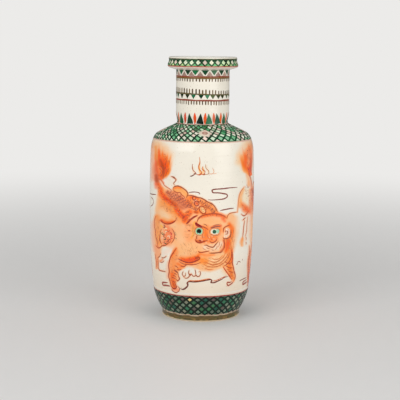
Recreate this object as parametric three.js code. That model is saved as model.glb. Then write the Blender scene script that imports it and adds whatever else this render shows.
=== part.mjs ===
// A rouleau vase of porcelain: a cylindrical body on a spreading foot, with a round shoulder, a straight
// neck and a dish mouth. It is thrown in six sections, and each is luted to the next with a ring of slip.
// Millimetres, +Z up, origin at the centre of the plane that the foot rests on.
import * as THREE from "three";

// How finely a turned piece is divided: round its axis, and along each kind of stretch in an outline
const FACETS = 48;
const GENTLE_STEPS = 4;
const BARREL_STEPS = 5;
const CORNER_STEPS = 7;
const FILLET_STEPS = 3;

// The shortest edge worth keeping in an outline
const SHORTEST_EDGE = 0.05;

// Heights of the thrown sections, each from joint to joint, and of the slip between them
const FOOT_HEIGHT = 52;
const LOWER_BODY_HEIGHT = 97;
const UPPER_BODY_HEIGHT = 137;
const SHOULDER_HEIGHT = 50.7;
const NECK_HEIGHT = 86.3;
const MOUTH_HEIGHT = 22;
const SLIP_THICKNESS = 1;

// How far the slip is squeezed out as a bead inside the vase
const SLIP_BEAD = 1.2;

// The wall, measured square to the outside: thick where it springs from the base, thinner above
const WALL = 6;
const WALL_AT_BASE = 10;
const WALL_TAPER_HEIGHT = 60;
const MOUTH_WALL = 4.8;

// The foot ring, cut from the bottom of the foot section, and the base that it stands round
const FOOT_INSIDE_WAIST = 21.3;
const FOOT_RING_HEIGHT = 9.5;
const FOOT_RING_TAPER = 0.7;
const FOOT_BEVEL = 1;
const FOOT_RESTING_WIDTH = 6.5;
const FOOT_RECESS_DEPTH = 10;
const FOOT_RECESS_FILLET = 3;
const BASE_THICKNESS = 8;
const FLOOR_FILLET = 12;

// The body's outer radius at its waist, how far inside that the knee and the shoulder break lie, and how much
// the wall leans out for each millimetre of height
const WAIST_RADIUS = 90;
const WAIST_LEAN = 0.016;
const KNEE_INSIDE_WAIST = 5.9;
const KNEE_LEAN = 0.11;
const FLARE_LEAN = 0.55;
const BREAK_INSIDE_WAIST = 0.6;
const BREAK_LEAN = -0.05;

// The shoulder: a round corner, a straight slope, and the hollow where the neck springs
const SLOPE_ANGLE = 25.3;
const CORNER_WIDTH = 14.9;
const SLOPE_TOP_BELOW_THROAT = 6.6;
const SLOPE_TOP_OUTSIDE_THROAT = 7;
const CORNER_RISE_REACH = 16;
const CORNER_SLOPE_REACH = 10;
const HOLLOW_SLOPE_REACH = 5;
const HOLLOW_RISE_REACH = 3;

// The neck, which swells a little above the throat and then stands straight
const NECK_RADIUS = 45.7;
const THROAT_INSIDE_NECK = 2.2;
const NECK_SWELL_HEIGHT = 15;
const NECK_SWELL_LOWER_REACH = 4;
const NECK_SWELL_UPPER_REACH = 7;

// The dish mouth: a shelf under it, a proud lower edge, a hollow side and a rounded lip
const SHELF_OVERHANG = 11.7;
const SHELF_RISE = 3.4;
const MOUTH_EDGE_OVERHANG = 3;
const MOUTH_EDGE_RISE = 3.8;
const MOUTH_EDGE_REACH = 2;
const MOUTH_HOLLOW_DEPTH = 2.3;
const MOUTH_HOLLOW_REACH = 3.5;
const LIP_HEIGHT = 5;
const LIP_SWELL = 0.9;
const LIP_TOP_INSIDE_SWELL = 2.8;
const DISH_DEPTH = 13;
const DISH_SLOPE_RISE = 4;
const DISH_FILLET = 3;

// Heights of the joints above the resting plane
const kneeJoint = FOOT_HEIGHT;
const waistJoint = kneeJoint + SLIP_THICKNESS + LOWER_BODY_HEIGHT;
const shoulderJoint = waistJoint + SLIP_THICKNESS + UPPER_BODY_HEIGHT;
const throatJoint = shoulderJoint + SLIP_THICKNESS + SHOULDER_HEIGHT;
const mouthJoint = throatJoint + SLIP_THICKNESS + NECK_HEIGHT;
const mouthFoot = mouthJoint + SLIP_THICKNESS;
const lipTop = mouthFoot + MOUTH_HEIGHT;

// Heights and radii that follow from the sizes above
const floorHeight = FOOT_RECESS_DEPTH + BASE_THICKNESS;
const footRingRadius = WAIST_RADIUS - FOOT_INSIDE_WAIST;
const kneeRadius = WAIST_RADIUS - KNEE_INSIDE_WAIST;
const breakRadius = WAIST_RADIUS - BREAK_INSIDE_WAIST;
const throatRadius = NECK_RADIUS - THROAT_INSIDE_NECK;
const boreRadius = NECK_RADIUS - WALL;
const shelfRadius = NECK_RADIUS + SHELF_OVERHANG;
const mouthEdgeRadius = shelfRadius + MOUTH_EDGE_OVERHANG;
const mouthHollowRadius = mouthEdgeRadius - MOUTH_HOLLOW_DEPTH;

// An outline is a list of points, each a radius and a height
const point = (radius, height) => new THREE.Vector2(radius, height);
const UP = point(0, 1);

// A smooth stretch from one point to another, which follows a given direction for a reach at each end
function sweep(from, leaving, leavingReach, to, arriving, arrivingReach, steps) {
  const first = from.clone().addScaledVector(leaving, leavingReach);
  const second = to.clone().addScaledVector(arriving, -arrivingReach);
  return new THREE.CubicBezierCurve(from, first, second, to).getPoints(steps);
}

// A stretch of thrown wall, given its radius and its lean at each end
function thrown(from, leaningFrom, to, leaningTo, steps) {
  const third = (to.y - from.y) / 3;
  return sweep(from, point(leaningFrom, 1), third, to, point(leaningTo, 1), third, steps);
}

// A right-angled corner rounded off
function rounded(from, corner, to, steps) {
  return new THREE.QuadraticBezierCurve(from, corner, to).getPoints(steps);
}

// Stretches laid end to end, without the points that they share
function joined(...stretches) {
  return stretches.flat().filter((p, i, all) => i === 0 || p.distanceTo(all[i - 1]) > SHORTEST_EDGE);
}

// The outside, from the top of the foot ring to the top of the joint under the mouth
function wallOutline() {
  const throat = point(throatRadius, throatJoint);
  const neckFoot = point(throatRadius, throatJoint + SLIP_THICKNESS);
  const straightNeck = point(NECK_RADIUS, neckFoot.y + NECK_SWELL_HEIGHT);
  const angle = THREE.MathUtils.degToRad(SLOPE_ANGLE);
  const alongSlope = point(-Math.cos(angle), Math.sin(angle));
  const slopeTop = throat.clone().add(point(SLOPE_TOP_OUTSIDE_THROAT, -SLOPE_TOP_BELOW_THROAT));
  const slopeWidth = breakRadius - CORNER_WIDTH - slopeTop.x;
  const slopeFoot = slopeTop.clone().addScaledVector(alongSlope, -slopeWidth / Math.cos(angle));
  const shoulderFoot = point(breakRadius, shoulderJoint + SLIP_THICKNESS);
  return joined(
    thrown(
      point(footRingRadius, FOOT_RING_HEIGHT),
      FLARE_LEAN,
      point(kneeRadius, kneeJoint),
      KNEE_LEAN,
      GENTLE_STEPS,
    ),
    thrown(
      point(kneeRadius, kneeJoint + SLIP_THICKNESS),
      KNEE_LEAN,
      point(WAIST_RADIUS, waistJoint),
      WAIST_LEAN,
      GENTLE_STEPS,
    ),
    thrown(
      point(WAIST_RADIUS, waistJoint + SLIP_THICKNESS),
      WAIST_LEAN,
      point(breakRadius, shoulderJoint),
      BREAK_LEAN,
      BARREL_STEPS,
    ),
    sweep(
      shoulderFoot,
      point(BREAK_LEAN, 1),
      CORNER_RISE_REACH,
      slopeFoot,
      alongSlope,
      CORNER_SLOPE_REACH,
      CORNER_STEPS,
    ),
    sweep(slopeTop, alongSlope, HOLLOW_SLOPE_REACH, throat, UP, HOLLOW_RISE_REACH, GENTLE_STEPS),
    sweep(neckFoot, UP, NECK_SWELL_LOWER_REACH, straightNeck, UP, NECK_SWELL_UPPER_REACH, FILLET_STEPS),
    [point(NECK_RADIUS, mouthFoot)],
  );
}

// The wall's thickness at a height
function wallAt(height) {
  const share = THREE.MathUtils.smoothstep(height, floorHeight, floorHeight + WALL_TAPER_HEIGHT);
  return THREE.MathUtils.lerp(WALL_AT_BASE, WALL, share);
}

// The inside of the wall: the outside moved in by the wall's thickness, square to the surface
function liningOf(outline) {
  return outline.map((p, i) => {
    const below = outline[Math.max(i - 1, 0)];
    const above = outline[Math.min(i + 1, outline.length - 1)];
    const along = above.clone().sub(below).normalize();
    return p.clone().addScaledVector(point(-along.y, along.x), wallAt(p.y));
  });
}

// The point where an outline crosses a height
function crossing(outline, height) {
  const i = outline.findIndex((p) => p.y >= height);
  if (i <= 0) return point(outline.at(i).x, height);
  const [below, above] = [outline[i - 1], outline[i]];
  return point(THREE.MathUtils.mapLinear(height, below.y, above.y, below.x, above.x), height);
}

// The stretch of an outline between two heights, cut square at both
function between(outline, low, high) {
  const inside = outline.filter((p) => p.y > low + SHORTEST_EDGE && p.y < high - SHORTEST_EDGE);
  return [crossing(outline, low), ...inside, crossing(outline, high)];
}

const outside = wallOutline();
const lining = liningOf(outside);

// A piece turned round the axis. Its profile goes up the outside and down the inside, and one that starts
// on the axis ends on it too.
function turned(profile) {
  const closed = profile[0].x === 0 ? profile : [...profile, profile[0].clone()];
  return new THREE.LatheGeometry(closed, FACETS).rotateX(Math.PI / 2);
}

// A thrown section: a ring of wall between two flat joints
function section(low, high) {
  return turned([...between(outside, low, high), ...between(lining, low, high).reverse()]);
}

// A ring of slip between two sections, as wide as the wall, with its bead inside
function slipJoint(low) {
  const high = low + SLIP_THICKNESS;
  const insideLow = crossing(lining, low);
  const insideHigh = crossing(lining, high);
  const bead = point(Math.min(insideLow.x, insideHigh.x) - SLIP_BEAD, (low + high) / 2);
  return turned([crossing(outside, low), crossing(outside, high), insideHigh, bead, insideLow]);
}

// The foot section: the base, the ring that it stands on, and the flare up to the knee
function foot() {
  const restingRadius = footRingRadius - FOOT_RING_TAPER - FOOT_BEVEL;
  const restingInside = restingRadius - FOOT_RESTING_WIDTH;
  const recessRadius = restingInside - FOOT_BEVEL;
  const recessCorner = point(recessRadius, FOOT_RECESS_DEPTH);
  const floorCorner = crossing(lining, floorHeight);
  const wall = between(outside, FOOT_RING_HEIGHT, kneeJoint);
  const inner = between(lining, floorHeight + FLOOR_FILLET, kneeJoint).reverse();
  return turned([
    point(0, FOOT_RECESS_DEPTH),
    ...rounded(
      point(recessRadius - FOOT_RECESS_FILLET, FOOT_RECESS_DEPTH),
      recessCorner,
      point(recessRadius, FOOT_RECESS_DEPTH - FOOT_RECESS_FILLET),
      FILLET_STEPS,
    ),
    point(recessRadius, FOOT_BEVEL),
    point(restingInside, 0),
    point(restingRadius, 0),
    point(restingRadius + FOOT_BEVEL, FOOT_BEVEL),
    ...wall,
    ...inner,
    ...rounded(
      inner.at(-1),
      floorCorner,
      point(floorCorner.x - FLOOR_FILLET, floorHeight),
      GENTLE_STEPS,
    ).slice(1),
    point(0, floorHeight),
  ]);
}

// The dish mouth, from its joint out under the shelf, over the lip, and down into the bore of the neck
function mouthRim() {
  const shelf = point(shelfRadius, mouthFoot + SHELF_RISE);
  const alongShelf = point(SHELF_OVERHANG, SHELF_RISE).normalize();
  const edge = point(mouthEdgeRadius, shelf.y + MOUTH_EDGE_RISE);
  const lipFoot = point(mouthHollowRadius, lipTop - LIP_HEIGHT);
  const top = point(mouthHollowRadius + LIP_SWELL - LIP_TOP_INSIDE_SWELL, lipTop);
  const wallRadius = mouthHollowRadius - MOUTH_WALL;
  const dishCorner = point(wallRadius, lipTop - DISH_DEPTH);
  const throatOfDish = point(boreRadius, dishCorner.y - DISH_SLOPE_RISE);
  const intoBore = throatOfDish.clone().sub(dishCorner).normalize();
  return turned(
    joined(
      [point(NECK_RADIUS, mouthFoot)],
      sweep(shelf, alongShelf, MOUTH_EDGE_REACH, edge, UP, MOUTH_EDGE_REACH, FILLET_STEPS),
      sweep(edge, UP, MOUTH_HOLLOW_REACH, lipFoot, UP, MOUTH_HOLLOW_REACH, GENTLE_STEPS),
      new THREE.CubicBezierCurve(
        lipFoot,
        point(mouthHollowRadius + LIP_SWELL, lipFoot.y + LIP_HEIGHT / 2),
        point(mouthHollowRadius + LIP_SWELL, lipTop),
        top,
      ).getPoints(GENTLE_STEPS),
      rounded(top, point(wallRadius, lipTop), point(wallRadius, lipFoot.y), FILLET_STEPS),
      rounded(
        point(wallRadius, dishCorner.y + DISH_FILLET),
        dishCorner,
        dishCorner.clone().addScaledVector(intoBore, DISH_FILLET),
        FILLET_STEPS,
      ),
      [throatOfDish, point(boreRadius, mouthFoot)],
    ),
  );
}

const porcelain = { color: 0xf1ebdf, roughness: 0.18 };
const slip = { color: 0xe9e2d3, roughness: 0.45 };

const vase = new THREE.Group();

function add(name, geometry, finish) {
  const mesh = new THREE.Mesh(geometry, new THREE.MeshStandardMaterial({ ...finish, metalness: 0 }));
  mesh.name = name;
  vase.add(mesh);
}

add("foot", foot(), porcelain);
add("foot_slip", slipJoint(kneeJoint), slip);
add("lower_body", section(kneeJoint + SLIP_THICKNESS, waistJoint), porcelain);
add("waist_slip", slipJoint(waistJoint), slip);
add("upper_body", section(waistJoint + SLIP_THICKNESS, shoulderJoint), porcelain);
add("shoulder_slip", slipJoint(shoulderJoint), slip);
add("shoulder", section(shoulderJoint + SLIP_THICKNESS, throatJoint), porcelain);
add("throat_slip", slipJoint(throatJoint), slip);
add("neck", section(throatJoint + SLIP_THICKNESS, mouthJoint), porcelain);
add("mouth_slip", slipJoint(mouthJoint), slip);
add("mouth_rim", mouthRim(), porcelain);

export default vase;
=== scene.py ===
"""Glazes and paints the thrown sections of a tall porcelain vase, and lights it in a plain studio."""

import math
import random
from functools import cache

import bpy
import numpy as np
from bpy.props import FloatProperty, FloatVectorProperty, IntProperty, PointerProperty
from mathutils import Matrix, Vector


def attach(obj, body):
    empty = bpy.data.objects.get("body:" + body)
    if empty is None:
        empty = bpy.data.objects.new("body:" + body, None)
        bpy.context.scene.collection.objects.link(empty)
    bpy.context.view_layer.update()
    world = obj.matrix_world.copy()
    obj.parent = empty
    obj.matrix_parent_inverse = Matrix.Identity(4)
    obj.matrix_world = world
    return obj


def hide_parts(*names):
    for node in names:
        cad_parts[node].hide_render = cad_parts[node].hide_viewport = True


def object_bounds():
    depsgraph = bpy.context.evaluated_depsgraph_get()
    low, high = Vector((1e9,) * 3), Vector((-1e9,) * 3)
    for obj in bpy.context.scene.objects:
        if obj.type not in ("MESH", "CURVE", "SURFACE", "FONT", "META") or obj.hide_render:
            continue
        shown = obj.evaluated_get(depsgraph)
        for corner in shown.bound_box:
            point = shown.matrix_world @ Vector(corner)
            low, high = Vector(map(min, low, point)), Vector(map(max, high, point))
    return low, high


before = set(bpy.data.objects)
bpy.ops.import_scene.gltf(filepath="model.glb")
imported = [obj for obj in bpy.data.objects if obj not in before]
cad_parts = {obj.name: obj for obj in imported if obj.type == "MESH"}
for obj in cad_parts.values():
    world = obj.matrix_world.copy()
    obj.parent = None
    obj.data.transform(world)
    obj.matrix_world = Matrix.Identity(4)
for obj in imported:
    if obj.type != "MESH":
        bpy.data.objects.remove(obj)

bl_info = {
    "name": "Enamelled rouleau vase",
    "version": (1, 0, 0),
    "blender": (4, 5, 0),
    "location": "3D View > Sidebar > Vase",
    "description": "Builds the glazed sections, the painted bands and the lions of a porcelain vase",
    "category": "Add Mesh",
}

# The frame: thrown sections from the foot up, and the ring of slip on top of each
SECTIONS = ("foot", "lower_body", "upper_body", "shoulder", "neck", "mouth_rim")
SLIPS = ("foot_slip", "waist_slip", "shoulder_slip", "throat_slip", "mouth_slip")
CAD_BOX = [list(corner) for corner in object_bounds()]

MM = 0.001
TINY = 1e-6
FULL_TURN = 2 * math.pi
BODY_RADIUS = 90 * MM

# The photograph's frame is 400 pixels wide, and the camera's sensor 36 mm
FRAME_WIDE = 400
SENSOR = 36

# Colours are written as they look, in steps of 255
CREAM = (242, 235, 220)
BISCUIT = (214, 196, 168)
INSIDE_GLAZE = (232, 231, 224)
IRON_SPECK = (150, 112, 72)


def light_of(tint):
    """A colour written in steps of 255, as the linear values that shaders use."""
    shown = np.asarray(tint, float) / 255
    return np.where(shown <= 0.04045, shown / 12.92, ((shown + 0.055) / 1.055) ** 2.4)


def tint_from(colour):
    """The linear values of a setting as a colour written in steps of 255."""
    light = np.asarray(colour[:], float)
    return 255 * np.where(light <= 0.0031308, light * 12.92, 1.055 * light ** (1 / 2.4) - 0.055)


# The outline of the vase, read from the frame


def half_section(node):
    """Radius and height of the points where a turned node crosses the half plane y = 0, in order.

    The foot's line runs from the axis to the axis. Every other node's is a loop that starts at its
    lowest, outermost point and goes up the outside.
    """
    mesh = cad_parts[node].data
    spots, known, place = [], {}, {}
    for vertex in mesh.vertices:
        x, y, z = vertex.co
        if abs(y) > TINY or x < -TINY:
            continue
        key = (round(x / MM, 3), round(z / MM, 3))
        if key not in known:
            known[key] = len(spots)
            spots.append((max(x, 0.0), z))
        place[vertex.index] = known[key]
    beside = [set() for _ in spots]
    for edge in mesh.edges:
        a, b = (place.get(i) for i in edge.vertices)
        if a is None or b is None or a == b:
            continue
        beside[a].add(b)
        beside[b].add(a)
    ends = [i for i, near in enumerate(beside) if len(near) == 1]
    if ends:
        start = min(ends, key=lambda i: spots[i][1])
    else:
        start = min(range(len(spots)), key=lambda i: (round(spots[i][1], 6), -spots[i][0]))
    order = [start]
    before, here = start, max(beside[start], key=lambda i: spots[i][1])
    while here != start:
        order.append(here)
        onward = [i for i in beside[here] if i != before]
        if not onward:
            break
        before, here = here, onward[0]
    return [spots[i] for i in order]


def outside_and_inside(node):
    """A section's half section, cut where it first reaches the section's top."""
    line = half_section(node)
    top = max(z for _, z in line)
    turn = next(i for i, (_, z) in enumerate(line) if z > top - TINY)
    return line[:turn + 1], line[turn + 1:]


def between(t, here, there, leave, arrive):
    """Places at shares t of the curve from here to there, with the ways that it leaves and arrives."""
    return ((2 * t**3 - 3 * t**2 + 1) * here + (t**3 - 2 * t**2 + t) * leave
            + (3 * t**2 - 2 * t**3) * there + (t**3 - t**2) * arrive)


def soften(points, spacing, corner):
    """A closer line through the points, curved except at corners, and each point's place in it.

    Each curve's handles are as long as the shorter of its two neighbouring chords, so that the line
    never swings outside them.
    """
    spots = np.array(points)
    chord = np.diff(spots, axis=0)
    length = np.hypot(chord[:, 0], chord[:, 1])
    way = chord / length[:, None]
    arrive = np.vstack([chord[:1], chord])
    leave = np.vstack([chord, chord[-1:]])
    for i in range(1, len(spots) - 1):
        if way[i - 1] @ way[i] > math.cos(corner):
            along = way[i - 1] * length[i] + way[i] * length[i - 1]
            along *= min(length[i - 1], length[i]) / np.linalg.norm(along)
            arrive[i] = leave[i] = along
    line, place = [], [0]
    for i in range(len(chord)):
        count = max(1, round(length[i] / spacing[i]))
        t = np.arange(count)[:, None] / count
        line.append(between(t, spots[i], spots[i + 1], leave[i], arrive[i + 1]))
        place.append(place[-1] + count)
    line.append(spots[-1:])
    return np.vstack(line), place


class Outline:
    """The whole wall as one line from the middle of the base, over the lip, to the middle of the floor."""

    def __init__(self, settings):
        points, spacing, self.outer, self.inner = [], [], {}, {}
        for name in SECTIONS:
            outside, _ = outside_and_inside(name)
            step = settings.body_step if name in ("lower_body", "upper_body") else settings.step
            self.outer[name] = (len(points), len(points) + len(outside) - 1)
            points += outside
            spacing += [step] * len(outside)
        for name in reversed(SECTIONS):
            _, inside = outside_and_inside(name)
            step = settings.step if name in ("neck", "mouth_rim") else settings.hollow_step
            self.inner[name] = (len(points), len(points) + len(inside) - 1)
            points += inside
            spacing += [step] * len(inside)
        self.line, self.place = soften(points, spacing, settings.corner)

    def outside(self, name):
        """The section's outside, up to where the next section starts, so that it covers the slip."""
        first = self.place[self.outer[name][0]]
        if name == SECTIONS[-1]:
            return self.line[first:self.place[self.outer[name][1]] + 1]
        above = SECTIONS[SECTIONS.index(name) + 1]
        return self.line[first:self.place[self.outer[above][0]] + 1]

    def inside(self, name):
        first, last = (self.place[i] for i in self.inner[name])
        return self.line[first:last + 1]


class Wall:
    """The painted outside, from the resting ring to the lip, as radius and height along its length."""

    def __init__(self, outline, unevenness):
        lip = outline.place[outline.outer[SECTIONS[-1]][1]]
        line = outline.line[:lip + 1]
        start = int(np.argmax(np.where(line[:, 1] < TINY, line[:, 0], -1)))
        line = line[start:]
        step = np.diff(line, axis=0)
        self.length = np.concatenate([[0], np.cumsum(np.hypot(step[:, 0], step[:, 1]))])
        self.radius, self.height = line[:, 0], line[:, 1]
        along = np.gradient(line, self.length, axis=0)
        along /= np.linalg.norm(along, axis=1)[:, None]
        self.out_r, self.out_z = along[:, 1], -along[:, 0]
        self.unevenness = unevenness

    def at_height(self, height):
        """The length along the wall at a height, where the wall always climbs."""
        return np.interp(height, np.maximum.accumulate(self.height), self.length)

    def radius_along(self, length):
        return np.interp(length, self.length, self.radius)

    def radius_at(self, height):
        return self.radius_along(self.at_height(height))

    def waver(self, angle, height):
        """How far the wall strays from a true circle, as a thrown and fired wall does."""
        fade = np.clip(height / (12 * MM), 0, 1)
        turns = np.sin(2 * angle + 0.6 + height * 9) + 0.6 * np.sin(3 * angle - 1.1 - height * 21)
        rings = 0.35 * np.sin(height * 410 + np.sin(angle)) + 0.25 * np.sin(height * 1130 + 2)
        return self.unevenness * fade * (0.5 * turns + rings)

    def point(self, angle, length, lift):
        """Places at angles round the wall and lengths up it, lifted off it along its own normal."""
        radius, height, out_r, out_z = (np.interp(length, self.length, values)
                                        for values in (self.radius, self.height, self.out_r, self.out_z))
        radius = radius + self.waver(angle, height) + lift * out_r
        return np.stack([radius * np.sin(angle), -radius * np.cos(angle), height + lift * out_z], axis=-1)


# Meshes, with the margin left round each one's flat map
MAP_EDGE = 0.01


def placed(name, data):
    """A new object in the scene."""
    item = bpy.data.objects.new(name, data)
    bpy.context.scene.collection.objects.link(item)
    return item


def mesh_piece(name, points, faces, tints, flat, material, sharp=None):
    """A smooth mesh piece with a colour at each point and a flat map for each face's corners."""
    mesh = bpy.data.meshes.new(name)
    mesh.from_pydata(points.tolist(), [], faces)
    mesh.polygons.foreach_set("use_smooth", [True] * len(mesh.polygons))
    if sharp:
        mesh.set_sharp_from_angle(angle=sharp)
    colour = mesh.color_attributes.new(name="colour", type="FLOAT_COLOR", domain="POINT")
    values = np.ones((len(points), 4))
    values[:, :3] = light_of(tints)
    colour.data.foreach_set("color", values.ravel())
    layer = mesh.uv_layers.new(name="OFBake")
    layer.data.foreach_set("uv", np.asarray(flat, float).ravel())
    mesh.materials.append(material)
    mesh.validate()
    piece = placed(name, mesh)
    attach(piece, "root")
    return piece


def spun(line, columns, closed, waver):
    """Points and faces of a line turned round the axis, with flat places for each face's corners.

    An end of an open line on the axis becomes one point. waver gives each ring's stray from a true circle.
    """
    angles = np.arange(columns) * FULL_TURN / columns
    points, ring_of = [], []
    for i, (radius, height) in enumerate(line):
        if radius < TINY:
            ring_of.append([len(points)] * columns)
            points.append((0.0, 0.0, height))
            continue
        reach = radius + waver(i, angles)
        around = np.stack([reach * np.sin(angles), -reach * np.cos(angles), np.full(columns, height)], axis=1)
        ring_of.append(list(range(len(points), len(points) + columns)))
        points.extend(around.tolist())
    steps = [(i, i + 1) for i in range(len(line) - 1)]
    if closed:
        steps.append((len(line) - 1, 0))
    return np.array(points), ring_of, steps


def turned_piece(name, line, shares, columns, tint_at, material, closed, waver, sharp):
    """A section or ring turned round the axis. shares weighs how much of its map each step gets."""
    points, ring_of, steps = spun(line, columns, closed, waver)
    climb = np.concatenate([[0], np.cumsum(shares)])
    climb = MAP_EDGE + (1 - 2 * MAP_EDGE) * climb / climb[-1]
    faces, flat = [], []
    for k, (low, high) in enumerate(steps):
        below, above = ring_of[low], ring_of[high]
        for c in range(columns):
            d = (c + 1) % columns
            left, right = (MAP_EDGE + (1 - 2 * MAP_EDGE) * side / columns for side in (c, c + 1))
            corners = [(below[c], left, climb[k]), (below[d], right, climb[k]),
                       (above[d], right, climb[k + 1]), (above[c], left, climb[k + 1])]
            if below[c] == below[d]:
                corners.pop(1)
            elif above[c] == above[d]:
                corners.pop(2)
            faces.append([corner[0] for corner in corners])
            flat.extend(corner[1:] for corner in corners)
    return mesh_piece(name, points, faces, tint_at(points), flat, material, sharp)


def step_lengths(line):
    """The length of each step of a closed line."""
    steps = np.diff(np.vstack([line, line[:1]]), axis=0)
    return np.hypot(steps[:, 0], steps[:, 1])


# Glaze, slip and floor


def fresh_material(name):
    """A new material, its node tree and its shader."""
    material = bpy.data.materials.new(name)
    material.use_nodes = True
    tree = material.node_tree
    return material, tree, tree.nodes["Principled BSDF"]


def noise_of(tree, scale, detail):
    """Noise that stays with the object, whichever way it is looked at."""
    place = tree.nodes.new("ShaderNodeTexCoord")
    noise = tree.nodes.new("ShaderNodeTexNoise")
    noise.inputs["Scale"].default_value = scale
    noise.inputs["Detail"].default_value = detail
    tree.links.new(place.outputs["Object"], noise.inputs["Vector"])
    return noise.outputs["Fac"]


def ranged(tree, value, low, high, least, most):
    """A value from low to high, stretched to run from least to most."""
    node = tree.nodes.new("ShaderNodeMapRange")
    for name, number in (("From Min", low), ("From Max", high), ("To Min", least), ("To Max", most)):
        node.inputs[name].default_value = number
    tree.links.new(value, node.inputs["Value"])
    return node.outputs["Result"]


def mottle(tree, scale, detail, least, most):
    """Noise of a scale and detail that runs from least to most."""
    return ranged(tree, noise_of(tree, scale, detail), 0.3, 0.7, least, most)


def feed(tree, socket, value):
    """Link a socket to another one, or set it to a plain value."""
    if isinstance(value, bpy.types.NodeSocket):
        tree.links.new(value, socket)
    else:
        socket.default_value = value


def blended(tree, how, share, under, over):
    """Two colours put together. share is a number or a socket, and so is each colour."""
    node = tree.nodes.new("ShaderNodeMix")
    node.data_type = "RGBA"
    node.blend_type = how
    for name, value in (("Factor_Float", share), ("A_Color", under), ("B_Color", over)):
        feed(tree, next(s for s in node.inputs if s.identifier == name), value)
    return next(s for s in node.outputs if s.identifier == "Result_Color")


def attribute_of(tree, name, output):
    node = tree.nodes.new("ShaderNodeAttribute")
    node.attribute_name = name
    return node.outputs[output]


def bumped(tree, shader, scale, detail, strength, distance):
    """Low relief from noise of a scale and detail."""
    bump = tree.nodes.new("ShaderNodeBump")
    bump.inputs["Strength"].default_value = strength
    bump.inputs["Distance"].default_value = distance
    tree.links.new(noise_of(tree, scale, detail), bump.inputs["Height"])
    tree.links.new(bump.outputs["Normal"], shader.inputs["Normal"])


def coat(name, tone, rough, relief, mirror=0.5):
    """A material in the piece's own colours. tone and rough are a noise's scale, detail, least and most."""
    material, tree, shader = fresh_material(name)
    tint = blended(tree, "MULTIPLY", 1.0, attribute_of(tree, "colour", "Color"), mottle(tree, *tone))
    tree.links.new(tint, shader.inputs["Base Color"])
    tree.links.new(mottle(tree, *rough), shader.inputs["Roughness"])
    shader.inputs["Specular IOR Level"].default_value = mirror
    bumped(tree, shader, *relief)
    return material


def sum_of(tree, how, first, second):
    node = tree.nodes.new("ShaderNodeMath")
    node.operation = how
    feed(tree, node.inputs[0], first)
    feed(tree, node.inputs[1], second)
    return node.outputs["Value"]


@cache
def porcelain_glaze():
    """Clear glaze over the painted wall, with iron specks and a faint orange peel."""
    material, tree, shader = fresh_material("porcelain_glaze")
    clouded = blended(tree, "MULTIPLY", 1.0, attribute_of(tree, "colour", "Color"),
                      mottle(tree, 26, 3, 0.955, 1.0))
    specks = ranged(tree, noise_of(tree, 620, 0), 0.79, 0.82, 0.0, 0.5)
    speckled = blended(tree, "MIX", specks, clouded, (*light_of(IRON_SPECK), 1))
    bare = attribute_of(tree, "bare", "Fac")
    clay = blended(tree, "MULTIPLY", 1.0, (*light_of(BISCUIT), 1), mottle(tree, 900, 4, 0.86, 1.06))
    tree.links.new(blended(tree, "MIX", bare, speckled, clay), shader.inputs["Base Color"])
    gloss = mottle(tree, 70, 3, 0.13, 0.23)
    rough = sum_of(tree, "MAXIMUM", gloss, sum_of(tree, "MULTIPLY", bare, 0.78))
    tree.links.new(rough, shader.inputs["Roughness"])
    bumped(tree, shader, 210, 2, 0.18, 0.12 * MM)
    return material


@cache
def fired_slip():
    """Unglazed slip, a little rough, as it was smoothed over each joint."""
    return coat("fired_slip", (700, 4, 0.88, 1.04), (400, 2, 0.6, 0.8), (900, 3, 0.4, 0.1 * MM))


@cache
def raised_enamel():
    """Thick glassy enamel: clear and even, with small pools of deeper colour."""
    return coat("raised_enamel", (190, 3, 0.86, 1.06), (120, 2, 0.1, 0.19), (420, 2, 0.25, 0.1 * MM), 0.25)


@cache
def iron_red():
    """Thin iron red line: a little drier than the glaze under it, and uneven where the brush ran out."""
    return coat("iron_red", (480, 3, 0.9, 1.12), (300, 2, 0.22, 0.36), (800, 2, 0.2, 0.06 * MM))


def mixed_shader(tree, share, first, second):
    mix = tree.nodes.new("ShaderNodeMixShader")
    for socket, value in zip(mix.inputs, (share, first, second)):
        tree.links.new(value, socket)
    return mix.outputs["Shader"]


def studio_floor(settings):
    """A matt pale floor that runs into the background far from the vase, where only the camera sees it."""
    material, tree, shader = fresh_material("studio_floor")
    tint = blended(tree, "MULTIPLY", 1.0, (*settings.floor_colour, 1), mottle(tree, 3, 2, 0.985, 1.0))
    tree.links.new(tint, shader.inputs["Base Color"])
    tree.links.new(mottle(tree, 60, 2, 0.5, 0.6), shader.inputs["Roughness"])
    place = tree.nodes.new("ShaderNodeTexCoord")
    far = tree.nodes.new("ShaderNodeVectorMath")
    far.operation = "LENGTH"
    tree.links.new(place.outputs["Object"], far.inputs[0])
    path = tree.nodes.new("ShaderNodeLightPath")
    fade = ranged(tree, far.outputs["Value"], settings.floor_near, settings.floor_far, 0.0, 1.0)
    fade.node.interpolation_type = "SMOOTHSTEP"
    share = sum_of(tree, "MULTIPLY", fade, path.outputs["Is Camera Ray"])
    pale = tree.nodes.new("ShaderNodeEmission")
    pale.inputs["Color"].default_value = (*settings.background, 1.0)
    seen = mixed_shader(tree, share, shader.outputs["BSDF"], pale.outputs["Emission"])
    tree.links.new(seen, tree.nodes["Material Output"].inputs["Surface"])
    return material


@cache
def vase_outline():
    """The vase's outline, from the settings. Like the wall and the easel, it is made once."""
    return Outline(bpy.context.scene.vase_wall)


@cache
def vase_wall():
    return Wall(vase_outline(), bpy.context.scene.vase_wall.unevenness)


@cache
def vase_easel():
    return Easel(vase_wall(), bpy.context.scene.vase_stage)


def count_setting(name, description, default, least):
    return IntProperty(name=name, description=description, default=default, min=least)


def size_setting(name, description, default, least=0.0):
    return FloatProperty(name=name, description=description, default=default, min=least, unit="LENGTH")


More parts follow.
